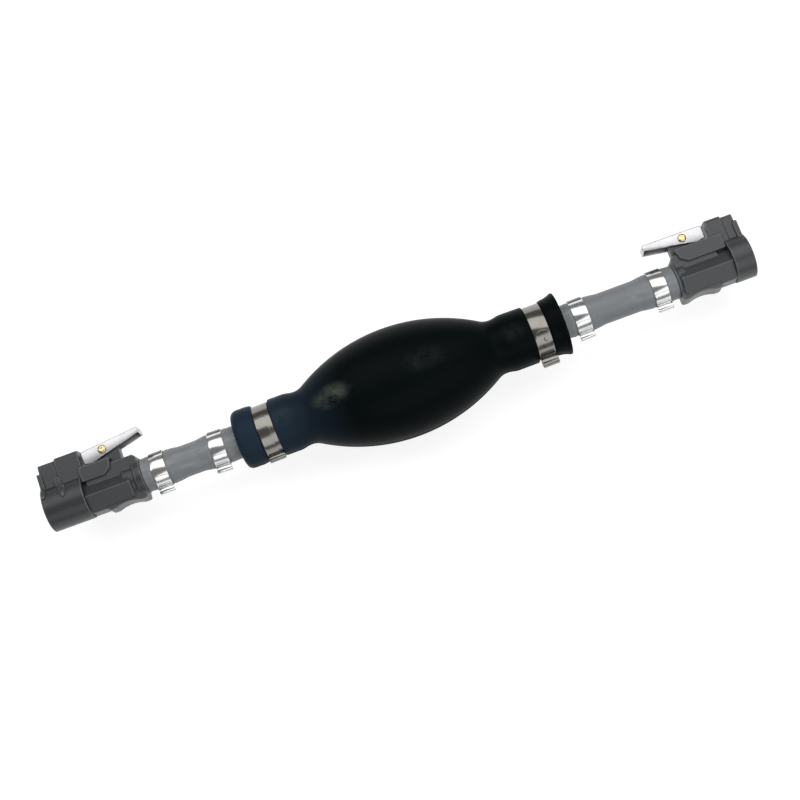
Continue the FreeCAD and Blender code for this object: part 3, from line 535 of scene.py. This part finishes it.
def lathe(points, steps, closed=True):
    """Spins points (x, radius) in mm round the X axis."""
    mesh = bmesh.new()
    polyline(mesh, [(x * MM, 0, r * MM) for x, r in points], closed)
    bmesh.ops.spin(mesh, geom=mesh.verts[:] + mesh.edges[:], axis=ALONG_X, cent=(0, 0, 0),
                   angle=TURN, steps=steps, use_merge=True, use_duplicate=False)
    return mesh


def arc(start, end, radius, steps, side=1):
    """Points (x, radius) in mm on an arc between two points, bulging to one side."""
    a, b = Vector((*start, 0)), Vector((*end, 0))
    half = (b - a).length / 2
    normal = Vector((-(b - a).y, (b - a).x, 0)).normalized() * side
    centre = (a + b) / 2 - normal * math.sqrt(radius ** 2 - half ** 2)
    spoke = a - centre
    angle = 2 * math.asin(half / radius) * -side
    turns = (Matrix.Rotation(angle * index / steps, 3, "Z") for index in range(steps + 1))
    return [tuple((centre + turn @ spoke).xy) for turn in turns]


def smooth_step(value):
    """A value held between 0 and 1, eased at both ends."""
    value = min(max(value, 0.0), 1.0)
    return value * value * (3 - 2 * value)


# ---------------------------------------------------------------- bulb

HALF, BELLY, NECK, NECK_X, HOLLOW = 83.0, 27.5, 13.5, 50.0, 8.5
RISE = NECK + HOLLOW - BELLY
BELLY_ARC = (NECK_X ** 2 + RISE ** 2 - HOLLOW ** 2) / (2 * (HOLLOW - RISE))
SHARE = BELLY_ARC / (BELLY_ARC + HOLLOW)
MEET = (NECK_X * SHARE, BELLY - BELLY_ARC + (BELLY_ARC + RISE) * SHARE)
BORE = 8.5
SEAT = 12.8
SEAT_HALF = 4.2
BAND_X = {"inlet": -67.8, "outlet": 70.8}
ARROW = ((-43, 1.3), (-31.5, 1.3), (-31.5, 4.2), (-21.5, 0), (-31.5, -4.2), (-31.5, -1.3), (-43, -1.3))
ARROW_SHIFT = -0.9


def belly_radius(x):
    """Outside radius of the belly in mm at x in mm."""
    return math.sqrt(BELLY_ARC ** 2 - x ** 2) - (BELLY_ARC - BELLY)


def seat_outline(x, before, after):
    """The groove that a band lies in, with a rounded shoulder on each side."""
    low, high = x - SEAT_HALF, x + SEAT_HALF
    return [(low - 0.6, before), (low - 0.15, before - 0.25), (low, before - 0.7), (low, SEAT),
            (high, SEAT), (high, after - 0.7), (high + 0.15, after - 0.25), (high + 0.6, after)]


def neck_outline(side):
    """From a cuff over the neck to where the belly starts, or back from there for the other side."""
    points = [(-56.0, 14.3), (-55.0, 14.25), *arc((-53.6, 14.0), (-NECK_X, NECK), 12.0, 4, -1),
              *arc((-NECK_X, NECK), (-MEET[0], MEET[1]), HOLLOW, 6, -1)[1:]]
    return points if side == "inlet" else [(-x, r) for x, r in reversed(points)]


def bulb_outline():
    """The closed outline of the rubber, from the inlet's end over the belly and back along the bore."""
    return [
        (-HALF, BORE), *arc((-HALF, 11.0), (3.6 - HALF, 14.7), 3.65, 8), (-75.0, 14.7),
        *seat_outline(BAND_X["inlet"], 14.4, 14.3), *neck_outline("inlet"),
        *arc((-MEET[0], MEET[1]), MEET, BELLY_ARC, 72)[1:-1], *neck_outline("outlet"),
        *seat_outline(BAND_X["outlet"], 14.2, 14.0), *arc((76.6, 14.2), (81.9, 15.6), 13.0, 6, -1),
        (82.5, 15.6), (82.85, 15.4), (HALF, 15.0), (HALF, BORE),
    ]


def raise_parting_line(mesh, height):
    """Cuts thin facets along the two sides where the mould parted, and lifts them."""
    half = 0.35 * MM
    for level in (-half, 0.0, half):
        bmesh.ops.bisect_plane(mesh, geom=mesh.verts[:] + mesh.edges[:] + mesh.faces[:], dist=0.01 * MM,
                               plane_co=(0, 0, level), plane_no=(0, 0, 1))
    for vert in mesh.verts:
        radius = vert.co.yz.length
        if abs(vert.co.z) < 0.03 * MM and radius > 13.0 * MM and abs(vert.co.x) < 84.0 * MM:
            vert.co.y *= 1 + height / radius


def make_flow_arrow(height):
    """A raised arrow on top of the belly that points the way the fuel flows."""
    mesh = bmesh.new()
    verts, _ = polyline(mesh, [(x * MM, (y + ARROW_SHIFT) * MM, 0) for x, y in ARROW], True)
    bmesh.ops.bevel(mesh, geom=verts, offset=0.5 * MM, affect="VERTICES", segments=3, profile=0.5,
                    material=-1)
    bmesh.ops.contextual_create(mesh, geom=mesh.edges[:])
    cuts = [((x * MM, 0, 0), (1, 0, 0)) for x in range(-42, -21)]
    cuts += [((0, y * 0.8 * MM, 0), (0, 1, 0)) for y in range(-6, 6)]
    for spot, normal in cuts:
        bmesh.ops.bisect_plane(mesh, geom=mesh.verts[:] + mesh.edges[:] + mesh.faces[:],
                               plane_co=spot, plane_no=normal, dist=0.01 * MM)
    top = set(mesh.verts)
    made = bmesh.ops.extrude_face_region(mesh, geom=mesh.faces[:])["geom"]
    base = {item for item in made if isinstance(item, bmesh.types.BMVert)}
    for vert in top | base:
        radius = belly_radius(vert.co.x / MM) * MM
        surface = math.sqrt(radius ** 2 - vert.co.y ** 2)
        vert.co.z = surface + (height if vert in top else -0.5 * MM)
    return mesh


class PUMP_OT_bulb(bpy.types.Operator):
    """Model the rubber bulb with its cuffs, rims, parting line and flow arrow"""

    bl_idname = "pump.bulb"
    bl_label = "Bulb"
    bl_options = {"REGISTER", "UNDO"}

    def execute(self, context):
        settings = context.scene.pump_bulb
        mesh = lathe(bulb_outline(), 128)
        raise_parting_line(mesh, settings.parting)
        bulb = finish_piece(mesh, "bulb", "bulb_rubber", None, ("squeeze_bulb", "bulb_thumb_wall"))
        arrow = finish_piece(make_flow_arrow(settings.mark), "flow_arrow", "bulb_rubber", None)
        for piece in (bulb, arrow):
            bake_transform(piece)
        return {"FINISHED"}


# ---------------------------------------------------------------- hoses

HOSE_ENDS = {"inlet": (-131.2, -83.05), "outlet": (83.05, 141.0)}
HOSE_RADIUS, HOSE_LIP, HOSE_BORE, HOSE_ROWS = 7.75, 7.9, 5.6, 90
CLIPS = (("inlet", "tank", -122.7, 0.5), ("inlet", "bulb", -93.0, -1.5),
         ("outlet", "bulb", 92.0, 1.2), ("outlet", "engine", 131.9, 0.4))  # side, name, x, skew


class PUMP_OT_hoses(bpy.types.Operator):
    """Model the two hose stubs, swollen over their barbs and pressed in under their clips"""

    bl_idname = "pump.hoses"
    bl_label = "Hoses"
    bl_options = {"REGISTER", "UNDO"}

    def execute(self, context):
        pinch = context.scene.pump_hose.pinch / MM
        for side, ends in HOSE_ENDS.items():
            clips = [x for end, _, x, _ in CLIPS if end == side]
            mesh = lathe(self.outline(ends, clips, pinch), 96)
            finish_piece(mesh, f"{side}_hose_stub", "hose_rubber", "root", (f"{side}_hose",))
        return {"FINISHED"}

    @staticmethod
    def outline(ends, clips, pinch):
        """Outside radius from end to end, then back along the bore."""
        first, last = ends
        points = [(first, HOSE_LIP)]
        for index in range(HOSE_ROWS + 1):
            x = first + 0.35 + (last - first - 0.7) * index / HOSE_ROWS
            inward = min(x - first, last - x)
            radius = HOSE_RADIUS + 0.55 * (1 - smooth_step((inward - 15.5) / 5.0))
            nearest = min(abs(x - clip) for clip in clips)
            radius -= pinch * (1 - smooth_step((nearest - 2.6) / 1.6))
            radius += 0.22 * math.exp(-((nearest - 5.0) / 0.9) ** 2)
            points.append((x, radius))
        return points + [(last, HOSE_LIP), (last, HOSE_BORE), (first, HOSE_BORE)]


# ---------------------------------------------------------------- clamps

LEAN = -13.0
EAR_STEPS = 24
PLATE_STEPS, PLATE_ROWS = 40, 9
BANDS = (("inlet", 1.9, 1.35, 1.4), ("outlet", 3.6, 2.0, 0.6))  # side, reach and radius of the ear, skew
SLOTS = (("upper", 121.0, 0.9), ("lower", 134.0, -0.6))


def thicken(mesh, steel, rounded):
    """Gives a sheet its thickness, away from the hollow that it encloses, and rounds its rims."""
    bmesh.ops.solidify(mesh, geom=mesh.faces[:], thickness=-steel * MM)
    rims = [edge for edge in mesh.edges if edge.is_manifold and edge.calc_face_angle(0) > 1.2]
    bmesh.ops.bevel(mesh, geom=rims, offset=rounded, affect="EDGES", segments=2, profile=0.5,
                    offset_type="OFFSET", material=-1)
    return mesh


def strap(points, width, steel, rounded):
    """A strip of steel along a closed path (y, z) in mm round the X axis, centred on x = 0."""
    mesh = bmesh.new()
    _, edges = polyline(mesh, [(-width / 2 * MM, y * MM, z * MM) for y, z in points], True)
    made = bmesh.ops.extrude_edge_only(mesh, edges=edges)["geom"]
    far = [item for item in made if isinstance(item, bmesh.types.BMVert)]
    bmesh.ops.translate(mesh, verts=far, vec=(width * MM, 0, 0))
    bmesh.ops.recalc_face_normals(mesh, faces=mesh.faces)
    top = max(mesh.faces, key=lambda face: face.calc_center_median().z)
    if top.normal.z < 0:
        bmesh.ops.reverse_faces(mesh, faces=mesh.faces[:])
    return thicken(mesh, steel, rounded)


def loop_path(radius, reach, loop, foot, slit=0.3, steps=96):
    """The inside line of a clamp's ring, which runs through a slit into a rolled ear at -Y.

    reach is from the ring to the middle of the ear, loop the ear's radius and foot the half width
    where the ring turns outwards.
    """
    start = math.asin(foot / radius)
    points = []
    for index in range(steps + 1):
        angle = start + (TURN - 2 * start) * index / steps
        points.append((-radius * math.cos(angle), radius * math.sin(angle)))
    middle = -(radius + reach)
    opening = math.asin(slit / loop) + 0.25
    bend = [(-radius - 0.25 * (reach - loop), slit + 0.5), (-radius - 0.6 * (reach - loop), slit)]
    points += [(y, -z) for y, z in bend]
    for index in range(EAR_STEPS + 1):
        angle = opening + (TURN - 2 * opening) * index / EAR_STEPS
        points.append((middle + loop * math.cos(angle), -loop * math.sin(angle)))
    return points + bend[::-1]


def place(mesh, x, lean, skew):
    """Leans a clamp round the X axis, skews it a little and moves it along to x in mm."""
    turn = Matrix.Translation((x * MM, 0, 0)) @ Matrix.Rotation(math.radians(skew), 4, "Z")
    bmesh.ops.transform(mesh, matrix=turn @ Matrix.Rotation(math.radians(lean), 4, "X"), verts=mesh.verts)


def curved_plate(radius, first, last, width, steel, rounded, tip):
    """A strip that lies on a ring between two angles, its first end arched by tip in mm."""
    mesh = bmesh.new()
    line = []
    for index in range(PLATE_STEPS + 1):
        angle = math.radians(first + (last - first) * index / PLATE_STEPS)
        line.append((-width / 2 * MM, radius * MM * math.cos(angle), radius * MM * math.sin(angle)))
    _, edges = polyline(mesh, line)
    for _ in range(PLATE_ROWS - 1):
        made = bmesh.ops.extrude_edge_only(mesh, edges=edges)["geom"]
        far = [item for item in made if isinstance(item, bmesh.types.BMVert)]
        edges = [item for item in made if isinstance(item, bmesh.types.BMEdge)
                 and all(vert in far for vert in item.verts)]
        bmesh.ops.translate(mesh, verts=far, vec=(width / (PLATE_ROWS - 1) * MM, 0, 0))
    draw_tip(mesh, radius, math.radians(first), math.radians(last), width, tip)
    bmesh.ops.recalc_face_normals(mesh, faces=mesh.faces)
    if mesh.faces[0].normal.dot(Vector((0, *mesh.faces[0].calc_center_median().yz))) < 0:
        bmesh.ops.reverse_faces(mesh, faces=mesh.faces[:])
    return thicken(mesh, steel, rounded)


def draw_tip(mesh, radius, first, last, width, tip):
    """Pulls the corners of a strip's first end back along the ring, so that the end is an arch."""
    reach = tip / radius
    for vert in mesh.verts:
        angle = math.atan2(vert.co.z, vert.co.y) % TURN
        across = min(abs(vert.co.x) / (width / 2 * MM), 1.0)
        back = reach * (1 - math.sqrt(max(1 - across ** 2, 0)))
        share = (last - angle) / (last - first)
        moved = angle + back * share
        vert.co.y, vert.co.z = (radius * MM * f for f in (math.cos(moved), math.sin(moved)))


def slot_mark(radius, angle, x, size):
    """A small hooked mark on a ring at an angle, as a punch leaves it."""
    mesh = bmesh.new()
    ring = bmesh.ops.create_circle(mesh, segments=10, radius=0.17 * MM, cap_ends=False)["verts"]
    bmesh.ops.rotate(mesh, verts=ring, cent=(0, 0, 0), matrix=Matrix.Rotation(math.pi / 2, 3, "Y"))
    bmesh.ops.translate(mesh, verts=ring, vec=(0, size * MM, 0))
    bmesh.ops.spin(mesh, geom=mesh.verts[:] + mesh.edges[:], axis=(0, 0, 1), cent=(0, 0, 0),
                   angle=math.radians(235), steps=16, use_merge=False, use_duplicate=False)
    bmesh.ops.holes_fill(mesh, edges=[edge for edge in mesh.edges if edge.is_boundary], sides=12)
    turn = Matrix.Translation((x * MM, 0, 0)) @ Matrix.Rotation(math.radians(angle - 90), 4, "X")
    out = Matrix.Translation((0, 0, radius * MM))
    bmesh.ops.transform(mesh, matrix=turn @ out, verts=mesh.verts)
    return mesh


class PUMP_OT_bands(bpy.types.Operator):
    """Model the two wide steel bands round the bulb's cuffs, with their ears and lapped ends"""

    bl_idname = "pump.bands"
    bl_label = "Bands"
    bl_options = {"REGISTER", "UNDO"}

    def execute(self, context):
        rounded = context.scene.pump_metal.strip_round
        for side, reach, loop, skew in BANDS:
            ring = strap(loop_path(12.87, reach, loop, 2.6), 8.0, 0.52, rounded)
            place(ring, BAND_X[side], LEAN, skew)
            finish_piece(ring, f"{side}_band", "band_steel", "root", (f"{side}_bulb_clamp",))
        tongue = curved_plate(13.46, 101.0, 160.0, 7.8, 0.45, rounded, 3.0)
        place(tongue, BAND_X["outlet"], 0.0, 0.6)
        finish_piece(tongue, "outlet_band_tongue", "band_steel", "root")
        for name, angle, shift in SLOTS:
            # The hooked marks are near-black, painted shade in place of the punched slots' hollows.
            mark = slot_mark(13.93, angle, BAND_X["outlet"] + shift, 0.75)
            finish_piece(mark, f"outlet_band_slot_{name}", "band_slot", "root")
        slip = curved_plate(13.42, 70.0, 166.0, 5.9, 0.4, rounded, 0.9)
        place(slip, BAND_X["inlet"] - 0.9, 0.0, 1.4)
        finish_piece(slip, "inlet_band_tongue", "band_steel", "root")
        return {"FINISHED"}


class PUMP_OT_clips(bpy.types.Operator):
    """Model the four narrow hose clips with their crimped ears"""

    bl_idname = "pump.clips"
    bl_label = "Hose clips"
    bl_options = {"REGISTER", "UNDO"}

    def execute(self, context):
        rounded = context.scene.pump_metal.strip_round
        for side, where, x, skew in CLIPS:
            ring = strap(loop_path(8.32, 2.7, 1.35, 2.2, 0.25, 72), 7.2, 0.48, rounded)
            place(ring, x, LEAN, skew)
            finish_piece(ring, f"{side}_{where}_clip", "clip_zinc", "root", (f"{side}_hose_{where}_clip",))
            lap = curved_plate(8.84, 118.0, 163.0, 7.0, 0.28, rounded, 0.5)
            place(lap, x, 0.0, skew)
            finish_piece(lap, f"{side}_{where}_clip_lap", "clip_zinc", "root")
            # Each clip's end, on its side towards +Y, takes the darker zinc, which is painted shade.
            end = curved_plate(8.84, 4.0, 40.0, 6.9, 0.24, rounded, 0.4)
            place(end, x, 0.0, skew)
            finish_piece(end, f"{side}_{where}_clip_end", "clip_dull", "root")
        return {"FINISHED"}


# ---------------------------------------------------------------- connectors

def cad_copy(node):
    """A merged copy of a CAD node's mesh as a bmesh."""
    mesh = bmesh.new()
    mesh.from_mesh(frame["nodes"][node].data)
    bmesh.ops.remove_doubles(mesh, verts=mesh.verts, dist=0.003 * MM)
    return mesh


def add_modifier(piece, kind, **values):
    """Puts a modifier on a piece with its settings by name."""
    modifier = piece.modifiers.new(kind.title(), kind)
    for name, value in values.items():
        setattr(modifier, name, value)
    return modifier


COLLAR, PAD_HEIGHT = 10.9, 1.35
# Each pad: x, degrees from the top towards +Y, half length and half width.
PADS = {"rib": (-169.4, 32.0, 4.2, 1.8), "lip": (-178.95, 42.0, 4.4, 1.5)}


def pad_mesh(x, lean, half_length, half_width):
    """An oval grip pad across the collar at x in mm, its middle lean degrees from the top towards +Y."""
    mesh = bmesh.new()
    bmesh.ops.create_uvsphere(mesh, u_segments=40, v_segments=24, radius=MM)
    bmesh.ops.scale(mesh, verts=mesh.verts, vec=(half_width, half_length, PAD_HEIGHT))
    turn = Matrix.Translation((x * MM, 0, 0)) @ Matrix.Rotation(math.radians(-lean), 4, "X")
    out = Matrix.Translation((0, 0, (COLLAR - 0.2) * MM))
    bmesh.ops.transform(mesh, matrix=turn @ out, verts=mesh.verts)
    return mesh


class PUMP_OT_connectors(bpy.types.Operator):
    """Give the hoods and bodies of both connectors softly rounded moulded edges"""

    bl_idname = "pump.connectors"
    bl_label = "Connectors"
    bl_options = {"REGISTER", "UNDO"}

    def execute(self, context):
        voxel = context.scene.pump_connector.voxel
        for side in SIDES:
            for part in ("hood", "body"):
                node = f"{side}_connector_{part}"
                # The inlet's hood and body get the darker copy of the plastic, which is painted shade.
                finish = "inlet_plastic_painted_shade" if side == "inlet" else "connector_plastic"
                piece = finish_piece(cad_copy(node), f"{side}_{part}", finish, "root", (node,))
                add_modifier(piece, "REMESH", mode="VOXEL", voxel_size=voxel, use_smooth_shade=True)
                add_modifier(piece, "SMOOTH", factor=0.5, iterations=3)
        for name, pad in PADS.items():
            finish_piece(pad_mesh(*pad), f"inlet_collar_{name}", "inlet_plastic_painted_shade", "root")
        return {"FINISHED"}


# ---------------------------------------------------------------- levers

PIVOTS = {"inlet": (-146.4, 18.7, 5.4, 1), "outlet": (151.4, 18.2, 0.4, -1)}  # x, y, tilt, way it faces
LEVER_SIDE = ((-10.8, -3.2), (-10.8, 3.3), (19.8, 3.3), (19.8, -0.2), (-6.4, -4.1))
LEVER_HALF, LEVER_STEEL, LEVER_TAPER = 4.3, 0.85, 0.8
RIVET_HEAD = ((-5.1, 0.0), (-5.1, 0.55), (-5.2, 0.8), (-5.15, 1.2), (-4.95, 1.75), (-4.6, 2.1), (-4.4, 2.1),
              (-4.4, 1.0))


def lever_mesh(rounded):
    """A pressed channel, open underneath, about its pivot and with its inner end at -X; in metres."""
    mesh = bmesh.new()
    verts, _ = polyline(mesh, [(x * MM, y * MM, -LEVER_HALF * MM) for x, y in LEVER_SIDE], True)
    bmesh.ops.bevel(mesh, geom=verts[1:3], offset=1.2 * MM, affect="VERTICES", segments=5, profile=0.5,
                    material=-1)
    face = bmesh.ops.contextual_create(mesh, geom=mesh.edges[:])["faces"]
    made = bmesh.ops.extrude_face_region(mesh, geom=face)["geom"]
    far = [item for item in made if isinstance(item, bmesh.types.BMVert)]
    bmesh.ops.translate(mesh, verts=far, vec=(0, 0, 2 * LEVER_HALF * MM))
    tail = [vert for vert in far if vert.co.x > 19 * MM and vert.co.y < 0]
    bmesh.ops.translate(mesh, verts=tail, vec=(0, LEVER_TAPER * MM, 0))
    bmesh.ops.recalc_face_normals(mesh, faces=mesh.faces)
    under = [face for face in mesh.faces if face.normal.y < -0.8
             or (face.normal.y < -0.3 and face.calc_center_median().x < -6 * MM)]
    bmesh.ops.delete(mesh, geom=under, context="FACES_ONLY")
    rims = [edge for edge in mesh.edges if len(edge.link_faces) == 2 and edge.calc_face_angle(0) > 1.0]
    bmesh.ops.bevel(mesh, geom=rims, offset=0.7 * MM, affect="EDGES", segments=4, profile=0.5,
                    offset_type="OFFSET", material=-1)
    bmesh.ops.recalc_face_normals(mesh, faces=mesh.faces)
    if sum(f.normal.z * f.calc_center_median().z for f in mesh.faces) < 0:
        bmesh.ops.reverse_faces(mesh, faces=mesh.faces[:])
    bmesh.ops.solidify(mesh, geom=mesh.faces[:], thickness=LEVER_STEEL * MM)
    lips = [edge for edge in mesh.edges if edge.is_manifold and edge.calc_face_angle(0) > 1.2]
    bmesh.ops.bevel(mesh, geom=lips, offset=rounded, affect="EDGES", segments=2, profile=0.5,
                    offset_type="OFFSET", material=-1)
    return mesh


def at_pivot(mesh, side):
    """Turns and moves a mesh made about the pivot to its side's pivot."""
    x, y, tilt, way = PIVOTS[side]
    facing = Matrix.Identity(4) if way > 0 else Matrix.Scale(-1, 4, ALONG_X)
    spin = Matrix.Rotation(math.radians(tilt) * way, 4, "Z")
    move = Matrix.Translation((x * MM, y * MM, 0))
    bmesh.ops.transform(mesh, matrix=move @ spin @ facing, verts=mesh.verts)


def rivet_mesh():
    """A turned rivet along Z with a domed head at each end and a dimple in it."""
    far_head = [(-x, radius) for x, radius in reversed(RIVET_HEAD)]
    mesh = lathe([*RIVET_HEAD, *far_head], 40, closed=False)
    bmesh.ops.rotate(mesh, verts=mesh.verts, cent=(0, 0, 0), matrix=Matrix.Rotation(-math.pi / 2, 3, "Y"))
    return mesh


class PUMP_OT_levers(bpy.types.Operator):
    """Model the latch levers and the rivets that they turn on"""

    bl_idname = "pump.levers"
    bl_label = "Latch levers"
    bl_options = {"REGISTER", "UNDO"}

    def execute(self, context):
        rounded = context.scene.pump_metal.strip_round
        for side in SIDES:
            lever = lever_mesh(rounded)
            at_pivot(lever, side)
            finish_piece(lever, f"{side}_lever", "lever_chrome", f"{side}_latch",
                         (f"{side}_latch_lever",), 50.0)
            rivet = rivet_mesh()
            at_pivot(rivet, side)
            finish_piece(rivet, f"{side}_rivet", "rivet_brass", "root", (f"{side}_latch_rivet",), 50.0)
        return {"FINISHED"}


# ---------------------------------------------------------------- springs and valve parts

SPRINGS = (("port_spring", "port_plunger", "plunger", 0), ("check_spring", "check_ball", "ball", 0),
           ("latch_spring", "latch_lever", "latch", 1))  # spring, what presses it, its body, axis


def spring_ends(spring, mover, axis):
    """The still end and the driven end of a spring along an axis; the part that drives it is mover."""
    low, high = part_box(spring)
    middle = (low + high) / 2
    driver = sum(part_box(mover), Vector()) / 2
    still, driven = middle.copy(), middle.copy()
    still[axis], driven[axis] = low[axis], high[axis]
    return (still, driven) if driver[axis] > middle[axis] else (driven, still)


class PUMP_OT_springs(bpy.types.Operator):
    """Copy the coil springs from the CAD model; each one's still and driven end is found, but nothing
    shortens the coils
    """

    bl_idname = "pump.springs"
    bl_label = "Springs"
    bl_options = {"REGISTER", "UNDO"}

    def execute(self, context):
        for side in SIDES:
            for spring, mover, body, axis in SPRINGS:
                node = f"{side}_{spring}"
                still, driven = spring_ends(node, f"{side}_{mover}", axis)
                name = node.replace("_spring", "_coil")
                coil = finish_piece(cad_copy(node), name, "spring_steel", None, (node,))
                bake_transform(coil)
        return {"FINISHED"}


class PUMP_OT_valves(bpy.types.Operator):
    """Give every CAD part its material; those that stay are the balls, seats, seals, plungers and guides"""

    bl_idname = "pump.valves"
    bl_label = "Valve parts"
    bl_options = {"REGISTER", "UNDO"}

    def execute(self, context):
        for row in frame["record"]["subparts"]:
            data = frame["nodes"][row["node"]].data
            data.materials.clear()
            data.materials.append(material(row["material_slot"]))
        return {"FINISHED"}


# ---------------------------------------------------------------- stage

LOOK_AT = Vector((-0.0031, -0.0081, 0.0))
FLOOR, FLOOR_REACH = -0.0275, 9.0
WHITE = (1.0, 1.0, 1.0, 1.0)
# Each lamp: its place, its size and the setting that holds its power.
LAMPS = {
    "Back softbox": ((0.16, 0.49, 0.985), (2.0, 1.0), "back_box"),
    "Front softbox": ((0.25, -0.82, 0.73), (1.8, 0.76), "front_box"),
    "Window": ((-0.86, 0.27, 0.92), (0.2, 0.16), "window"),
}


def make_floor_material():
    """A pale floor whose own glow lifts it to white in view and in mirrors; shadows still fall on it."""
    surface, tree, shader, vector = start_material("Studio floor")
    shader.inputs["Base Color"].default_value = (0.45, 0.45, 0.45, 1.0)
    shader.inputs["Roughness"].default_value = 0.9
    shader.inputs["Specular IOR Level"].default_value = 0.0
    path = add_node(tree, "LightPath").outputs
    seen = maths(tree, "MAXIMUM", path["Is Camera Ray"], path["Is Glossy Ray"])
    seen = maths(tree, "MAXIMUM", seen, path["Is Transmission Ray"])
    distance = vector_maths(tree, "LENGTH", vector)["Value"]
    glow = maths(tree, "MULTIPLY", seen, remap(tree, distance, 0.5, 1.8, 0.77, 1.0))
    tree.links.new(toned(tree, glow, WHITE[:3]), shader.inputs["Emission Color"])
    shader.inputs["Emission Strength"].default_value = 1.0
    return surface


def make_world(strength):
    """A grey surround that is white in view, and white near the horizon in mirrors."""
    world = bpy.data.worlds.new("Studio")
    world.use_nodes = True
    tree = world.node_tree
    tree.nodes["Background"].inputs["Color"].default_value = WHITE
    path = add_node(tree, "LightPath").outputs
    direction = add_node(tree, "TexCoord").outputs["Generated"]
    height = add_node(tree, "SeparateXYZ", Vector=direction).outputs["Z"]
    mirrored = maths(tree, "MAXIMUM", path["Is Glossy Ray"], path["Is Transmission Ray"])
    mirrored = maths(tree, "MULTIPLY", mirrored, remap(tree, height, 0.01, 0.06, 1.0, 0.0))
    seen = maths(tree, "MAXIMUM", path["Is Camera Ray"], mirrored)
    tree.links.new(remap(tree, seen, 0.0, 1.0, strength, 1.0), tree.nodes["Background"].inputs["Strength"])
    return world


def add_lamp(name, spot, size, watts):
    """A rectangular lamp that faces the middle of the pump."""
    data = bpy.data.lights.new(name, "AREA")
    data.shape = "RECTANGLE"
    data.size, data.size_y = size
    data.energy = watts
    lamp = bpy.data.objects.new(name, data)
    lamp.location = spot
    lamp.rotation_euler = (-Vector(spot)).to_track_quat("-Z", "Y").to_euler()
    bpy.context.scene.collection.objects.link(lamp)


class PUMP_OT_stage(bpy.types.Operator):
    """Set the pale floor, the lamps, the world and the camera"""

    bl_idname = "pump.stage"
    bl_label = "Stage"
    bl_options = {"REGISTER", "UNDO"}

    def execute(self, context):
        scene = context.scene
        settings = scene.pump_stage
        floor = bmesh.new()
        bmesh.ops.create_grid(floor, x_segments=2, y_segments=2, size=FLOOR_REACH)
        bmesh.ops.translate(floor, verts=floor.verts, vec=(0, 0, FLOOR))
        data = bpy.data.meshes.new("floor")
        floor.to_mesh(data)
        floor.free()
        data.materials.append(make_floor_material())
        ground = bpy.data.objects.new("floor", data)
        scene.collection.objects.link(ground)

        right, up = self.camera_axes(settings)
        back = right.cross(up)
        data = bpy.data.cameras.new("Camera")
        data.lens = settings.lens
        data.clip_start = 0.01
        camera = bpy.data.objects.new("Camera", data)
        turn = Matrix((right, up, back)).transposed().to_4x4()
        camera.matrix_world = Matrix.Translation(LOOK_AT + back * settings.distance) @ turn
        scene.collection.objects.link(camera)
        scene.camera = camera

        for name, (spot, size, setting) in LAMPS.items():
            add_lamp(name, spot, size, getattr(settings, setting))
        scene.world = make_world(settings.world)
        scene.view_settings.view_transform = "Standard"
        return {"FINISHED"}

    @staticmethod
    def camera_axes(settings):
        """The camera's right and up from its elevation and roll."""
        level = Vector((1, 0, 0))
        upright = Vector((0, math.sin(settings.elevation), math.cos(settings.elevation)))
        roll = settings.roll
        return (level * math.cos(roll) - upright * math.sin(roll),
                upright * math.cos(roll) + level * math.sin(roll))


# ---------------------------------------------------------------- add-on

STEPS = (PUMP_OT_stage, PUMP_OT_bulb, PUMP_OT_hoses, PUMP_OT_bands, PUMP_OT_clips, PUMP_OT_connectors,
         PUMP_OT_levers, PUMP_OT_springs, PUMP_OT_valves)
SETTINGS = {
    "pump_bulb": BulbSettings, "pump_hose": HoseSettings, "pump_metal": MetalSettings,
    "pump_connector": ConnectorSettings, "pump_stage": StageSettings,
}


class PUMP_PT_panel(bpy.types.Panel):
    """The pump's steps and settings"""

    bl_idname = "PUMP_PT_panel"
    bl_label = "Priming bulb pump"
    bl_space_type = "VIEW_3D"
    bl_region_type = "UI"
    bl_category = "Pump"

    def draw(self, context):
        for step in STEPS:
            self.layout.operator(step.bl_idname)
        for group, kind in SETTINGS.items():
            box = self.layout.box()
            for name in kind.__annotations__:
                box.prop(getattr(context.scene, group), name)


CLASSES = (*SETTINGS.values(), *STEPS, PUMP_PT_panel)


def register():
    for kind in CLASSES:
        bpy.utils.register_class(kind)
    for group, kind in SETTINGS.items():
        setattr(bpy.types.Scene, group, PointerProperty(type=kind))


def unregister():
    for group in SETTINGS:
        delattr(bpy.types.Scene, group)
    for kind in reversed(CLASSES):
        bpy.utils.unregister_class(kind)


def main():
    register()
    for step in STEPS:
        group, name = step.bl_idname.split(".")
        getattr(getattr(bpy.ops, group), name)()


if __name__ == "__main__":
    main()
